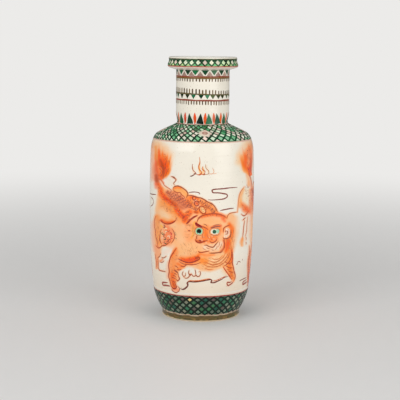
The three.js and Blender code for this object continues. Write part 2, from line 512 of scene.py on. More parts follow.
def turn_setting(name, description, degrees):
    return FloatProperty(name=name, description=description, default=math.radians(degrees),
                         subtype="ANGLE", unit="ROTATION")


def strength_setting(name, description, default, least=0.0, most=1000.0):
    return FloatProperty(name=name, description=description, default=default, min=least, max=most)


def colour_setting(name, description, tint):
    return FloatVectorProperty(name=name, description=description, default=tuple(light_of(tint)),
                               subtype="COLOR", size=3, min=0, max=1)


class VaseWallSettings(bpy.types.PropertyGroup):
    """How finely the thrown sections are turned."""

    body_columns: count_setting("Body columns", "Faces round the two body sections, which carry the lions",
                                600, 48)
    columns: count_setting("Columns", "Faces round every other section", 320, 48)
    body_step: size_setting("Body step", "Height of a row of faces on the outside of the body",
                            1.1 * MM, 0.2 * MM)
    step: size_setting("Step", "Height of a row of faces on the foot, shoulder, neck and mouth",
                       1.4 * MM, 0.2 * MM)
    hollow_step: size_setting("Hollow step", "Height of a row of faces inside the body", 4.5 * MM, 0.5 * MM)
    corner: turn_setting("Corner", "The outline stays sharp where it turns by more than this", 38)
    unevenness: size_setting("Unevenness", "How far the wall strays from a true circle", 0.12 * MM)
    ledge: size_setting("Ledge", "Thickness of the clay that covers each ring of slip outside",
                        0.6 * MM, 0.1 * MM)


class VaseStageSettings(bpy.types.PropertyGroup):
    """The studio and the camera."""

    floor_colour: colour_setting("Floor", "Colour of the floor", (232, 231, 229))
    background: colour_setting("Background", "Colour seen behind the vase", (236, 235, 233))
    room: colour_setting("Room", "Colour of the unlit room that the glaze mirrors", (112, 110, 108))
    floor_radius: size_setting("Floor radius", "Radius of the round floor", 7.0)
    floor_near: size_setting("Fade start", "Distance at which the floor starts to run into the background",
                             0.35)
    floor_far: size_setting("Fade end", "Distance beyond which only the background shows", 2.2)
    world_light: strength_setting("World light", "Strength of the even light from all round", 0.6)
    key_power: strength_setting("Key light", "Power of the soft light at the front left, in watts", 54.0)
    fill_power: strength_setting("Fill light", "Power of the soft light at the front right, in watts", 42.0)
    camera_back: size_setting("Camera distance", "How far in front of the vase's axis the camera stands",
                              1.91375)
    camera_height: size_setting("Camera height", "Height of the camera above the floor", 0.4873)
    camera_tilt: turn_setting("Camera tilt", "How far the camera looks down", 8.5)
    camera_turn: turn_setting("Camera turn", "How far the camera is turned to its left", 0.09)
    camera_roll: turn_setting("Camera roll", "How far the camera leans over sideways", 0.51)
    lens: FloatProperty(name="Lens", description="Focal length on a 36 mm wide sensor", default=99.54,
                        subtype="DISTANCE_CAMERA", unit="CAMERA")


class VaseLionSettings(bpy.types.PropertyGroup):
    """How the lions, the flames and the clouds are brushed."""

    spread: strength_setting("Line spread", "How far a line spreads as it is fired, against its drawn width",
                             1.75, 0.5, 3)
    line_rise: size_setting("Line rise", "How far the outlines stand off the glaze", 0.13 * MM, 0.02 * MM)
    depth: strength_setting("Wash depth", "How deep the washes are fired, against the tints they are laid in",
                            1.26, 0.2, 2)
    halo: FloatProperty(name="Halo", description="Strength of the soft colour that bleeds from each line",
                        default=0.5, min=0, max=1, subtype="FACTOR")
    halo_colour: colour_setting("Halo colour", "Colour that bleeds from each line", (240, 136, 76))
    hair: strength_setting("Hair", "How many hairs are drawn, against the usual number", 1.2, 0, 3)


class VaseBorderSettings(bpy.types.PropertyGroup):
    """The diaper bands and the colours under them."""

    foot_count: count_setting("Foot diamonds", "Diamonds round the foot", 38, 8)
    shoulder_count: count_setting("Shoulder diamonds", "Diamonds round the shoulder", 50, 8)
    rim_count: count_setting("Rim diamonds", "Diamonds round the mouth", 33, 8)
    foot_rib: size_setting("Foot rib", "Half the width of a rib in the foot's diaper", 1.4 * MM, 0.1 * MM)
    shoulder_rib: size_setting("Shoulder rib", "Half the width of a rib in the shoulder's diaper",
                               0.98 * MM, 0.1 * MM)
    rim_rib: size_setting("Rim rib", "Half the width of a rib in the rim's diaper", 0.95 * MM, 0.1 * MM)
    foot_ground: colour_setting("Foot ground", "Colour under the foot's diaper", (16, 62, 44))
    shoulder_ground: colour_setting("Shoulder ground", "Colour under the shoulder's diaper", (22, 92, 58))
    rim_ground: colour_setting("Rim ground", "Colour under the rim's diaper", (118, 146, 98))


class VASE_OT_stage(bpy.types.Operator):
    """Make the floor, the soft light, the pale background and the camera"""

    bl_idname = "vase.stage"
    bl_label = "Studio and camera"

    FLOOR_SIDES, FLOOR_DROP = 96, 0.1 * MM
    LAMP_SIZE, KEY_SPOT, FILL_SPOT = 2.6, (-2.1, -2.7, 2.0), (2.6, -2.3, 1.2)

    def execute(self, context):
        settings = context.scene.vase_stage
        rim = [FULL_TURN * i / self.FLOOR_SIDES for i in range(self.FLOOR_SIDES)]
        mesh = bpy.data.meshes.new("studio_floor")
        mesh.from_pydata([(settings.floor_radius * math.cos(a), settings.floor_radius * math.sin(a),
                           -self.FLOOR_DROP) for a in rim], [], [list(range(self.FLOOR_SIDES))])
        mesh.materials.append(studio_floor(settings))
        floor = placed("studio_floor", mesh)
        self.light_room(context, settings)
        self.place_lamp("key_light", settings.key_power, self.KEY_SPOT)
        self.place_lamp("fill_light", settings.fill_power, self.FILL_SPOT)
        data = bpy.data.cameras.new("camera")
        data.sensor_width = SENSOR
        data.lens = settings.lens
        camera = placed("camera", data)
        camera.matrix_world = camera_place(settings)
        context.scene.camera = camera
        context.scene.view_settings.view_transform = "Standard"
        return {"FINISHED"}

    def light_room(self, context, settings):
        """Even light from all round, the pale background for the camera, and the dim room in reflections."""
        world = bpy.data.worlds.new("studio")
        world.use_nodes = True
        context.scene.world = world
        tree = world.node_tree
        lit = tree.nodes["Background"]
        lit.inputs["Color"].default_value = (1, 1, 1, 1)
        lit.inputs["Strength"].default_value = settings.world_light
        path = tree.nodes.new("ShaderNodeLightPath")
        shown = lit.outputs["Background"]
        for colour, ray in ((settings.room, "Is Glossy Ray"), (settings.background, "Is Camera Ray")):
            seen = tree.nodes.new("ShaderNodeBackground")
            seen.inputs["Color"].default_value = (*colour, 1)
            shown = mixed_shader(tree, path.outputs[ray], shown, seen.outputs["Background"])
        tree.links.new(shown, tree.nodes["World Output"].inputs["Surface"])

    def place_lamp(self, name, power, spot):
        """A soft square lamp that looks at the middle of the vase."""
        data = bpy.data.lights.new(name, "AREA")
        data.energy = power
        data.size = self.LAMP_SIZE
        lamp = placed(name, data)
        middle = sum((Vector(corner) for corner in CAD_BOX), Vector()) / 2
        lamp.location = spot
        lamp.rotation_euler = (middle - lamp.location).to_track_quat("-Z", "Y").to_euler()


def camera_place(settings):
    """Where the camera stands and how it is turned, fitted to the photograph."""
    stand = Matrix.Translation((0, -settings.camera_back, settings.camera_height))
    turn = Matrix.Rotation(settings.camera_turn, 4, "Z")
    tilt = Matrix.Rotation(math.pi / 2 - settings.camera_tilt, 4, "X")
    return stand @ turn @ tilt @ Matrix.Rotation(settings.camera_roll, 4, "Z")


class VASE_OT_sections(bpy.types.Operator):
    """Turn the six glazed sections, with their painted colours in the glaze"""

    bl_idname = "vase.sections"
    bl_label = "Glazed sections"

    INSIDE_SHARE = 0.3
    RECESS_TOP = 52 * MM
    WIPED, SOFT_EDGE, RING_INSIDE = 1.5 * MM, 0.7 * MM, 58 * MM

    def execute(self, context):
        for name in SECTIONS:
            self.turn_section(name, context.scene.vase_wall, vase_outline(), vase_wall())
        return {"FINISHED"}

    def turn_section(self, name, settings, outline, wall):
        """One section, closed over its slip, with the painting on its outside."""
        line = outline.outside(name)
        if name != SECTIONS[-1]:
            top = outline.line[outline.place[outline.outer[name][1]]]
            line = np.vstack([line, line[-1] - (settings.ledge, 0), top - (settings.ledge, 0)])
        skin = len(line)
        line = np.vstack([line, outline.inside(name)])
        shares = step_lengths(line)
        shares[skin:] *= self.INSIDE_SHARE
        closed = name != SECTIONS[0]
        if not closed:
            shares = shares[:-1]
        body = name in ("lower_body", "upper_body")
        columns = settings.body_columns if body else settings.columns

        def waver(i, angles):
            return wall.waver(angles, line[i][1]) if i < skin else 0 * angles

        def tint_at(points):
            tints = np.tile(np.array(INSIDE_GLAZE, float), (len(points), 1))
            if closed:
                outer = np.arange(len(points)) < skin * columns
            else:
                rest = max(r for r, z in line if z < TINY)
                limit = np.where(points[:, 2] < self.RECESS_TOP, rest - TINY, 1)
                outer = np.hypot(points[:, 0], points[:, 1]) > limit
            x, y, z = points[outer].T
            tints[outer] = wall_tints(np.arctan2(x, -y), z)
            return tints

        piece = turned_piece("glazed_" + name.removesuffix("_rim"), line, shares, columns, tint_at,
                             porcelain_glaze(), closed, waver, settings.corner)
        if not closed:
            self.wipe_foot_ring(piece.data)
        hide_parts(name)

    def wipe_foot_ring(self, mesh):
        """Bare clay on the resting ring and on the lowest edge of the foot, where the glaze was wiped off."""
        spots = np.empty(len(mesh.vertices) * 3)
        mesh.vertices.foreach_get("co", spots)
        x, y, z = spots.reshape(-1, 3).T
        edge = drift_of((np.arctan2(x, -y) + math.pi) * BODY_RADIUS, 0 * z, 8 * MM, 17)
        bare = np.clip((self.WIPED * (0.7 + 0.6 * edge) - z) / self.SOFT_EDGE + 0.5, 0, 1)
        ring = np.hypot(x, y) > self.RING_INSIDE
        mesh.attributes.new("bare", "FLOAT", "POINT").data.foreach_set("value", bare * ring)


class VASE_OT_slip_joints(bpy.types.Operator):
    """Turn the five rings of slip that join the sections, each with its smoothed bead inside"""

    bl_idname = "vase.slip_joints"
    bl_label = "Slip joints"

    TINT = (224, 217, 200)
    BEAD, SMEAR, GAP, THICKNESS = 0.7 * MM, 0.2 * MM, 0.02 * MM, 2 * MM

    def execute(self, context):
        settings = context.scene.vase_wall
        for name in SLIPS:
            ring = half_section(name)
            low, high = ring[0][1], max(z for _, z in ring)
            inner = min(r for r, _ in ring)
            outer = [(r - settings.ledge - self.GAP, z) for r, z in ring if r > inner + self.THICKNESS]
            bead = []
            for t in (0.25, 0.5, 0.75):
                z = high + (high - low) * (0.5 - 2 * t + 0.5 * t)
                bead.append((inner - self.BEAD * math.sin(math.pi * t),
                             min(max(z, low - self.SMEAR), high + self.SMEAR)))
            line = np.array([outer[0], outer[-1], (inner, high), *bead, (inner, low)])

            def waver(i, angles, line=line):
                return vase_wall().waver(angles, line[i][1]) if i < 2 else 0 * angles

            piece = turned_piece(name.replace("slip", "joint"), line, step_lengths(line), settings.columns,
                                 lambda points: np.tile(np.array(self.TINT, float), (len(points), 1)),
                                 fired_slip(), True, waver, settings.corner)
            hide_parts(name)
        return {"FINISHED"}


# Brushwork: how the painting is put on the wall


class Easel:
    """Puts places of the photograph's frame on the wall, through the camera that matches it."""

    TRIES = 12

    def __init__(self, wall, settings):
        place = np.array(camera_place(settings))
        self.eye, self.turn = place[:3, 3], place[:3, :3]
        self.reach = settings.lens / SENSOR * FRAME_WIDE
        self.wall = wall

    def seen(self, spots):
        """Angle and height of the wall seen at each (across, down) place of the 400 by 400 frame."""
        spots = np.asarray(spots, float)
        middle = FRAME_WIDE / 2
        rays = np.stack([(spots[:, 0] - middle) / self.reach, (middle - spots[:, 1]) / self.reach,
                         -np.ones(len(spots))], axis=1) @ self.turn.T
        radius = np.full(len(spots), BODY_RADIUS)
        square = rays[:, 0] ** 2 + rays[:, 1] ** 2
        across = self.eye[0] * rays[:, 0] + self.eye[1] * rays[:, 1]
        for _ in range(self.TRIES):
            depth = across**2 - square * (self.eye[0] ** 2 + self.eye[1] ** 2 - radius**2)
            travel = (-across - np.sqrt(np.maximum(depth, 0))) / square
            spot = self.eye + travel[:, None] * rays
            radius = self.wall.radius_at(spot[:, 2])
        return np.arctan2(spot[:, 0], -spot[:, 1]), spot[:, 2]

    def on_wall(self, spots, turn=0.0):
        """Angle and length up the wall of each place, on a vase turned by some angle."""
        angle, height = self.seen(spots)
        return angle + turn, self.wall.at_height(height)

    def in_frame(self, angle, height):
        """Where places of the wall fall in the frame, and how squarely each faces the camera."""
        radius = self.wall.radius_at(height)
        spot = np.stack([radius * np.sin(angle), -radius * np.cos(angle), height], axis=1) - self.eye
        facing = -(spot[:, 0] * np.sin(angle) - spot[:, 1] * np.cos(angle)) / np.hypot(spot[:, 0], spot[:, 1])
        local = spot @ self.turn
        middle = FRAME_WIDE / 2
        across = middle - self.reach * local[:, 0] / local[:, 2]
        down = middle + self.reach * local[:, 1] / local[:, 2]
        return across, down, facing


def eased(share):
    """A share from 0 to 1 that starts and ends gently."""
    return share * share * (3 - 2 * share)


def drift_of(across, up, size, seed):
    """Smooth random values from 0 to 1 that change over about one size."""
    cells = 128
    table = np.random.default_rng(seed).random((cells, cells))
    x, y = across / size, up / size
    i, j = np.floor(x).astype(int), np.floor(y).astype(int)
    u, v = eased(x - i), eased(y - j)
    i, j, k, m = i % cells, j % cells, (i + 1) % cells, (j + 1) % cells
    low = table[i, j] * (1 - u) + table[k, j] * u
    high = table[i, m] * (1 - u) + table[k, m] * u
    return low * (1 - v) + high * v


def nearest_stretch(x, y, spots):
    """How far each place is outside a brushed line, and where it is along and across that line."""
    away, along, aside = np.full(len(x), np.inf), np.zeros(len(x)), np.zeros(len(x))
    done = 0.0
    for (x0, y0, w0), (x1, y1, w1) in zip(spots, spots[1:]):
        dx, dy = x1 - x0, y1 - y0
        length = max(math.hypot(dx, dy), TINY)
        t = np.clip(((x - x0) * dx + (y - y0) * dy) / length**2, 0, 1)
        px, py = x - x0 - t * dx, y - y0 - t * dy
        gap = np.hypot(px, py) - (w0 + t * (w1 - w0))
        closer = gap < away
        away = np.where(closer, gap, away)
        along = np.where(closer, done + t * length, along)
        aside = np.where(closer, (px * dy - py * dx) / length, aside)
        done += length
    return away, along, aside


def outside_area(x, y, outline):
    """How far each place is outside a closed outline, less than zero inside."""
    inside, away = np.zeros(len(x), bool), np.full(len(x), np.inf)
    for (x0, y0), (x1, y1) in zip(outline, np.roll(outline, -1, axis=0)):
        dx, dy = x1 - x0, y1 - y0
        t = np.clip(((x - x0) * dx + (y - y0) * dy) / (dx * dx + dy * dy + TINY**2), 0, 1)
        away = np.minimum(away, np.hypot(x - x0 - t * dx, y - y0 - t * dy))
        crossing = (y0 > y) != (y1 > y)
        inside ^= crossing & (x < x0 + dx * (y - y0) / (dy if abs(dy) > TINY else TINY))
    return np.where(inside, -away, away)


class Palette:
    """Wet colour laid on the wall's points before the glaze, wash over wash."""

    # The light that a wash takes away, in steps of 255, where it is full, thin in red, or still glows
    FULL_LOSS, THIN_RED, GLOW_UP_TO = 200, 26, 60
    GLOW, MORE_BLUE = 0.12, 1.05
    # Where the wall counts as edge on, how soon it counts as faced, and how wide a join is in the frame
    EDGE_ON, FACED, JOIN = 0.02, 0.12, 3

    def __init__(self, angle, height):
        self.angle, self.height = angle, height
        self.tints = np.tile(np.array(CREAM, float), (len(angle), 1))
        self.turn_to(0)

    def turn_to(self, turn, left=0):
        """Turn the vase under the brush, and paint only to the right of a place in the frame."""
        self.across, self.down, facing = vase_easel().in_frame(self.angle - turn, self.height)
        facing = np.clip((facing - self.EDGE_ON) / self.FACED, 0, 1)
        self.seen = facing * np.clip((self.across - left) / self.JOIN, 0, 1)

    def _near(self, spots, reach):
        """The points close to some places of the frame."""
        low, high = spots[:, :2].min(axis=0) - reach, spots[:, :2].max(axis=0) + reach
        near = np.flatnonzero((self.across > low[0]) & (self.across < high[0]) & (self.down > low[1])
                              & (self.down < high[1]) & (self.seen > 0))
        return near, self.across[near], self.down[near]

    def lay(self, near, cover, tint):
        self.tints[near] += cover[:, None] * (np.array(tint, float) - self.tints[near])

    def wash(self, tint, strength, soft, spots, streak=0.42, seed=1):
        """A brushed wash along some places of the frame, each with its half width."""
        spots = np.asarray(spots, float)
        near, x, y = self._near(spots, spots[:, 2].max() + soft)
        away, along, aside = nearest_stretch(x, y, spots)
        cover = eased(np.clip(0.5 - away / (2 * soft), 0, 1)) * self.seen[near]
        hair = 0.6 * drift_of(aside, along * 0.3, 1.2, seed) + 0.4 * drift_of(x, y, 4, seed + 7)
        self.lay(near, cover * strength * (1 - streak * (1 - np.clip(hair * 1.8 - 0.3, 0, 1))), tint)

    def area(self, tint, strength, soft, spots):
        """A soft filled shape inside some places of the frame."""
        spots = np.asarray(spots, float)
        near, x, y = self._near(spots, soft)
        cover = np.clip(0.5 - outside_area(x, y, spots) / (2 * soft), 0, 1)
        uneven = (0.82 + 0.18 * drift_of(x, y, 5, 5)) * self.seen[near]
        self.lay(near, eased(cover) * strength * uneven, tint)

    def streaks(self, root, tips, tints, seed):
        """Soft streaks that spring from the root of a tail and lean out to its tips."""
        chance = random.Random(seed)
        tips = through(tips, 1.1)
        order = list(range(len(tips)))
        chance.shuffle(order)
        for k in order:
            reach = chance.uniform(0.62, 1.1)
            x, y = np.array(root) + (tips[k] - root) * reach
            bend = (root[0] + (x - root[0]) * 0.62, root[1] + (y - root[1]) * 0.42)
            middle = ((bend[0] + x) / 2, (bend[1] + y) / 2)
            tint = tint_of(tints[min(len(tints) - 1, int(k / len(tips) * len(tints)))])
            self.wash(tint, chance.uniform(0.3, 0.8), 1.5,
                      ((*root, 1), (*bend, 1.2), (*middle, 0.4), (x, y, -1.5)), 0.3, k)
            if k % 3 == 0:
                self.wash([c * 0.86 for c in tint], 0.5, 1.1,
                          ((*root, 0.3), (*bend, 0.3), (*middle, -0.3), (x, y, -0.9)), 0.2, k)

    def deepen(self, depth):
        """Fire the washes deeper, the thin ones most, and keep the thin ones bright in red."""
        lost = np.array(CREAM, float) - self.tints
        lost[:, :2] *= depth / (1 + (depth - 1) * (np.maximum(lost[:, :2], 0) / self.FULL_LOSS) ** 2)
        lost[:, 2] *= depth * self.MORE_BLUE
        red = lost[:, 0]
        glow = self.GLOW * lost[:, 2] * np.clip(1 - red / self.GLOW_UP_TO, 0, 1)
        lost[:, 0] = red * np.abs(red) / (np.abs(red) + self.THIN_RED) - glow
        self.tints = np.clip(np.array(CREAM, float) - lost, 0, 255)

    def band(self, low, high, tint, strength=1.0, soft=0.5, waver=0.5, seed=3):
        """A level band of colour round the wall, with wavering edges. Its sizes are in mm."""
        stray = drift_of(self.angle * BODY_RADIUS, 0 * self.height, 9 * MM, seed) - 0.5
        level = self.height / MM + stray * waver
        cover = np.clip((level - low) / soft + 0.5, 0, 1) * np.clip((high - level) / soft + 0.5, 0, 1)
        near = np.flatnonzero(cover > 0)
        self.lay(near, cover[near] * strength, tint)


class Enamel:
    """Raised brushwork on the wall, gathered into one piece: strokes, drops and filled shapes."""

    ACROSS = np.array((-1, -0.84, 0, 0.84, 1))
    CREST = np.array((0, 0.72, 1, 0.72, 0))
    SUNK = 0.09 * MM
    TIP = 0.18
    RING_COLUMNS, RING_STRAY, BRUSHFUL = 300, 0.5 * MM, 21 * MM
    MAP_SIDE, SEEN_STRIP, HIDDEN_STRIP = 0.03, (0.02, 0.95), (0.985, 0.01)

    def __init__(self, height, seed):
        self.wall, self.height = vase_wall(), height
        self.points, self.faces, self.tints, self.flat, self.hidden = [], [], [], [], []
        self.count = 0
        self.chance = random.Random(seed)

    def _add(self, angle, length, lift, tint):
        """Points on the wall. Gives the number of the first."""
        first = self.count
        angle, length = np.ravel(angle), np.ravel(length)
        self.points.append(self.wall.point(angle, length, np.ravel(lift)))
        self.flat.append(np.stack([angle, length], axis=1))
        self.tints.append(np.tile(np.array(tint, float), (len(angle), 1)))
        self.count += len(angle)
        return first

    def _face(self, corners, hidden=False):
        self.faces.append(corners)
        self.hidden.append(hidden)

    def sheet(self, angle, length, lift, tint, looped=False):
        """A closed skin over a grid of places: rows run along the stroke, columns across it."""
        rows, columns = angle.shape
        first = self._add(angle, length, lift, tint)
        for i in range(rows if looped else rows - 1):
            a, b = first + i * columns, first + (i + 1) % rows * columns
            for j in range(columns - 1):
                self._face((a + j, a + j + 1, b + j + 1, b + j))
            self._face((a, b, b + columns - 1, a + columns - 1), True)
        if not looped:
            last = first + (rows - 1) * columns
            self._face(tuple(range(first + columns - 1, first - 1, -1)), True)
            self._face(tuple(range(last, last + columns)), True)

    def _stroke_rows(self, angle, length, half, looped):
        """The grid of places across a brushed line, at right angles to it on the wall."""
        radius = self.wall.radius_along(length)
        if looped:
            around = np.roll(angle, -1) - np.roll(angle, 1)
            around = (around + math.pi) % FULL_TURN - math.pi
            climb = np.roll(length, -1) - np.roll(length, 1)
        else:
            around, climb = np.gradient(angle), np.gradient(length)
        around = around * radius
        size = np.hypot(around, climb) + 1e-12
        side = self.ACROSS[None, :] * half[:, None]
        turned = angle[:, None] + side * (climb / size / radius)[:, None]
        raised = length[:, None] - side * (around / size)[:, None]
        return turned, raised

    def stroke(self, angle, length, half, tint, taper=(0.2, 0.25), step=1.3 * MM, waver=0.1, bend=True):
        """One brush stroke through some places, thin at its ends, with the small slips of a hand."""
        angle, length = np.asarray(angle, float), np.asarray(length, float)
        radius = float(self.wall.radius_along(length).mean())
        line = through(np.stack([angle * radius, length], axis=1), step, bend)
        angle, length = line[:, 0] / radius, line[:, 1]
        count = len(angle)
        t = np.linspace(0, 1, count)
        start = np.clip(t / taper[0], 0, 1) if taper[0] else 1.0
        end = np.clip((1 - t) / taper[1], 0, 1) if taper[1] else 1.0
        if np.ndim(half):
            half = np.interp(t, np.linspace(0, 1, len(half)), half)
        phase = self.chance.uniform(0, 9)
        sway = 1 + waver * np.sin(phase + t * count * 0.55) * np.sin(2 * phase + t * count * 0.21)
        width = half * sway * (self.TIP + (1 - self.TIP) * np.sqrt(start * end))
        turned, raised = self._stroke_rows(angle, length, width, False)
        crest = self.CREST[None, :] * (width / np.max(width))[:, None] ** 0.5
        self.sheet(turned, raised, crest * self.height - (self.CREST[None, :] == 0) * self.SUNK, tint)

    def ring(self, length, half, tint, tilt):
        """A line painted right round the vase, in a few loaded brushfuls."""
        angle = np.arange(self.RING_COLUMNS) * FULL_TURN / self.RING_COLUMNS
        slow = drift_of(angle * BODY_RADIUS, 0 * angle, self.BRUSHFUL, int(length * 1e5)) - 0.5
        slow *= np.clip(np.minimum(angle, FULL_TURN - angle) / 0.3, 0, 1)
        width = half * (1 + 0.35 * slow)
        level = length + slow * self.RING_STRAY - tilt * np.sin(angle)
        turned, raised = self._stroke_rows(angle, level, width, True)
        crest = np.tile(self.CREST[None, :], (self.RING_COLUMNS, 1))
        self.sheet(turned, raised, crest * self.height - (crest == 0) * self.SUNK, tint, True)

    def drop(self, outline, tint, rise, rings=3, crown=2):
        """A domed fill inside a closed outline of (angle, length) places, flatter on top with more crown."""
        outline = np.asarray(outline, float)
        middle = outline.mean(axis=0)
        shares = [1 - 0.85 * k / rings for k in range(rings)] + [0]
        first = self.count
        for share in shares[:-1]:
            spot = middle + (outline - middle) * share
            lift = rise * math.sqrt(1 - share**crown) - (self.SUNK if share == 1 else 0)
            self._add(spot[:, 0], spot[:, 1], np.full(len(spot), lift), tint)
        top = self._add(middle[:1], middle[1:], np.array([rise]), tint)
        count = len(outline)
        for k in range(rings - 1):
            a, b = first + k * count, first + (k + 1) * count
            for i in range(count):
                j = (i + 1) % count
                self._face((a + i, a + j, b + j, b + i))
        inner = first + (rings - 1) * count
        for i in range(count):
            self._face((inner + i, inner + (i + 1) % count, top))
        self._face(tuple(range(first + count - 1, first - 1, -1)), True)

    def piece(self, name, material):
        """The gathered brushwork as one piece, its flat map unrolled round the vase.

        Faces that are sunk in the wall share a narrow strip at the top of the map.
        """
        flat = np.vstack(self.flat)
        low, high = flat[:, 1].min(), flat[:, 1].max()
        corners = []
        for face, hidden in zip(self.faces, self.hidden):
            spots = flat[list(face)]
            turned = (spots[:, 0] - spots[0, 0] + math.pi) % FULL_TURN - math.pi
            home = (spots[0, 0] + math.pi) % FULL_TURN
            across = self.MAP_SIDE + (1 - 2 * self.MAP_SIDE) * (home + turned) / FULL_TURN
            up = (spots[:, 1] - low) / (high - low)
            start, span = self.HIDDEN_STRIP if hidden else self.SEEN_STRIP
            up = start + span * up
            corners.extend(zip(across, up))
        mesh_piece(name, np.vstack(self.points), self.faces, np.vstack(self.tints), corners,
                   material)


def through(spots, step, bend=True):
    """A smooth line through some places of a plane, with a point about every step."""
    spots = np.asarray(spots, float)
    gap = np.hypot(*np.diff(spots, axis=0).T)
    ahead = np.vstack([spots[1:], 2 * spots[-1] - spots[-2]])
    behind = np.vstack([2 * spots[0] - spots[1], spots[:-1]])
    slope = (ahead - behind) / 2
    line = []
    for i in range(len(spots) - 1):
        count = max(2, int(math.ceil(gap[i] / step)))
        t = np.arange(count)[:, None] / count
        if not bend:
            line.append(spots[i] + t * (spots[i + 1] - spots[i]))
            continue
        near = np.hypot(*slope[i]) + TINY
        far = np.hypot(*slope[i + 1]) + TINY
        m0, m1 = slope[i] * min(1, gap[i] / near), slope[i + 1] * min(1, gap[i] / far)
        line.append(between(t, spots[i], spots[i + 1], m0, m1))
    line.append(spots[-1:])
    return np.vstack(line)


# Places of the lion, read from the photograph: across, down and half width in the 400 by 400 frame

TINTS = {
    "flame": (226, 92, 32), "ember": (192, 58, 20), "apricot": (246, 158, 92), "peach": (250, 196, 148),
    "cream": (252, 228, 198), "rose": (240, 130, 100), "maroon": (150, 40, 25),
    "ochre": (222, 150, 80), "ivory": (246, 240, 228), "yellow": (250, 190, 84),
    "umber": (148, 64, 28), "rust": (178, 64, 18), "brick": (160, 40, 12), "mauve": (156, 78, 62),
    "cloud": (132, 54, 34), "pelt": (244, 128, 74), "sand": (244, 176, 138),
    "beard": (188, 112, 84),
}

BODY_TINT, MUZZLE_TINT = (248, 184, 130), (254, 226, 206)
BODY_EDGE = (
    (158, 186), (163, 186.5), (167, 188.5), (171, 190.5), (173, 188.8), (174.2, 186.8), (177.4, 185.9),
    (180.6, 186.8), (183.8, 188.8), (186.7, 191.3), (188.5, 194), (192, 195), (196, 196.5), (200, 197.7),
    (204.4, 199.7), (207.6, 201.9), (212.1, 203.9), (214.6, 206.4), (216.5, 209.6), (220, 212.5),
    (225, 214.5), (228, 214), (231, 213), (234, 214), (235.4, 217), (235.6, 222), (235, 230), (233.6, 238),
    (232.4, 245), (232, 253), (232.6, 258), (232.3, 262.4), (233.2, 266.5), (234.1, 271.2),
    (235.1, 274.8), (235, 278.3), (233.5, 281.2), (231.8, 279.7), (228.5, 274.5), (224.7, 269.2),
    (222.5, 267.5), (216, 270), (210, 271.5), (203, 271), (198, 270), (192, 267), (187, 266.5),
    (184, 268.5), (180, 270), (178.5, 274), (179.3, 278), (178, 281), (176, 283), (176.8, 287),
    (174, 289), (171.3, 286.1), (169.9, 280.9), (168.7, 276.4), (169.2, 271.3), (168.7, 265.4),
    (169.5, 260.6), (170.9, 256.5), (173.3, 252.7), (172, 249), (169, 247), (165.1, 245.5), (162, 247.5),
    (161, 252), (160.5, 256), (158.5, 258), (158.2, 263), (158.2, 268), (156.4, 268.3), (156.2, 262),
    (155, 254), (153, 246), (152.3, 238), (152.6, 228), (153.5, 218), (156, 210), (157.5, 203), (158, 196),
)

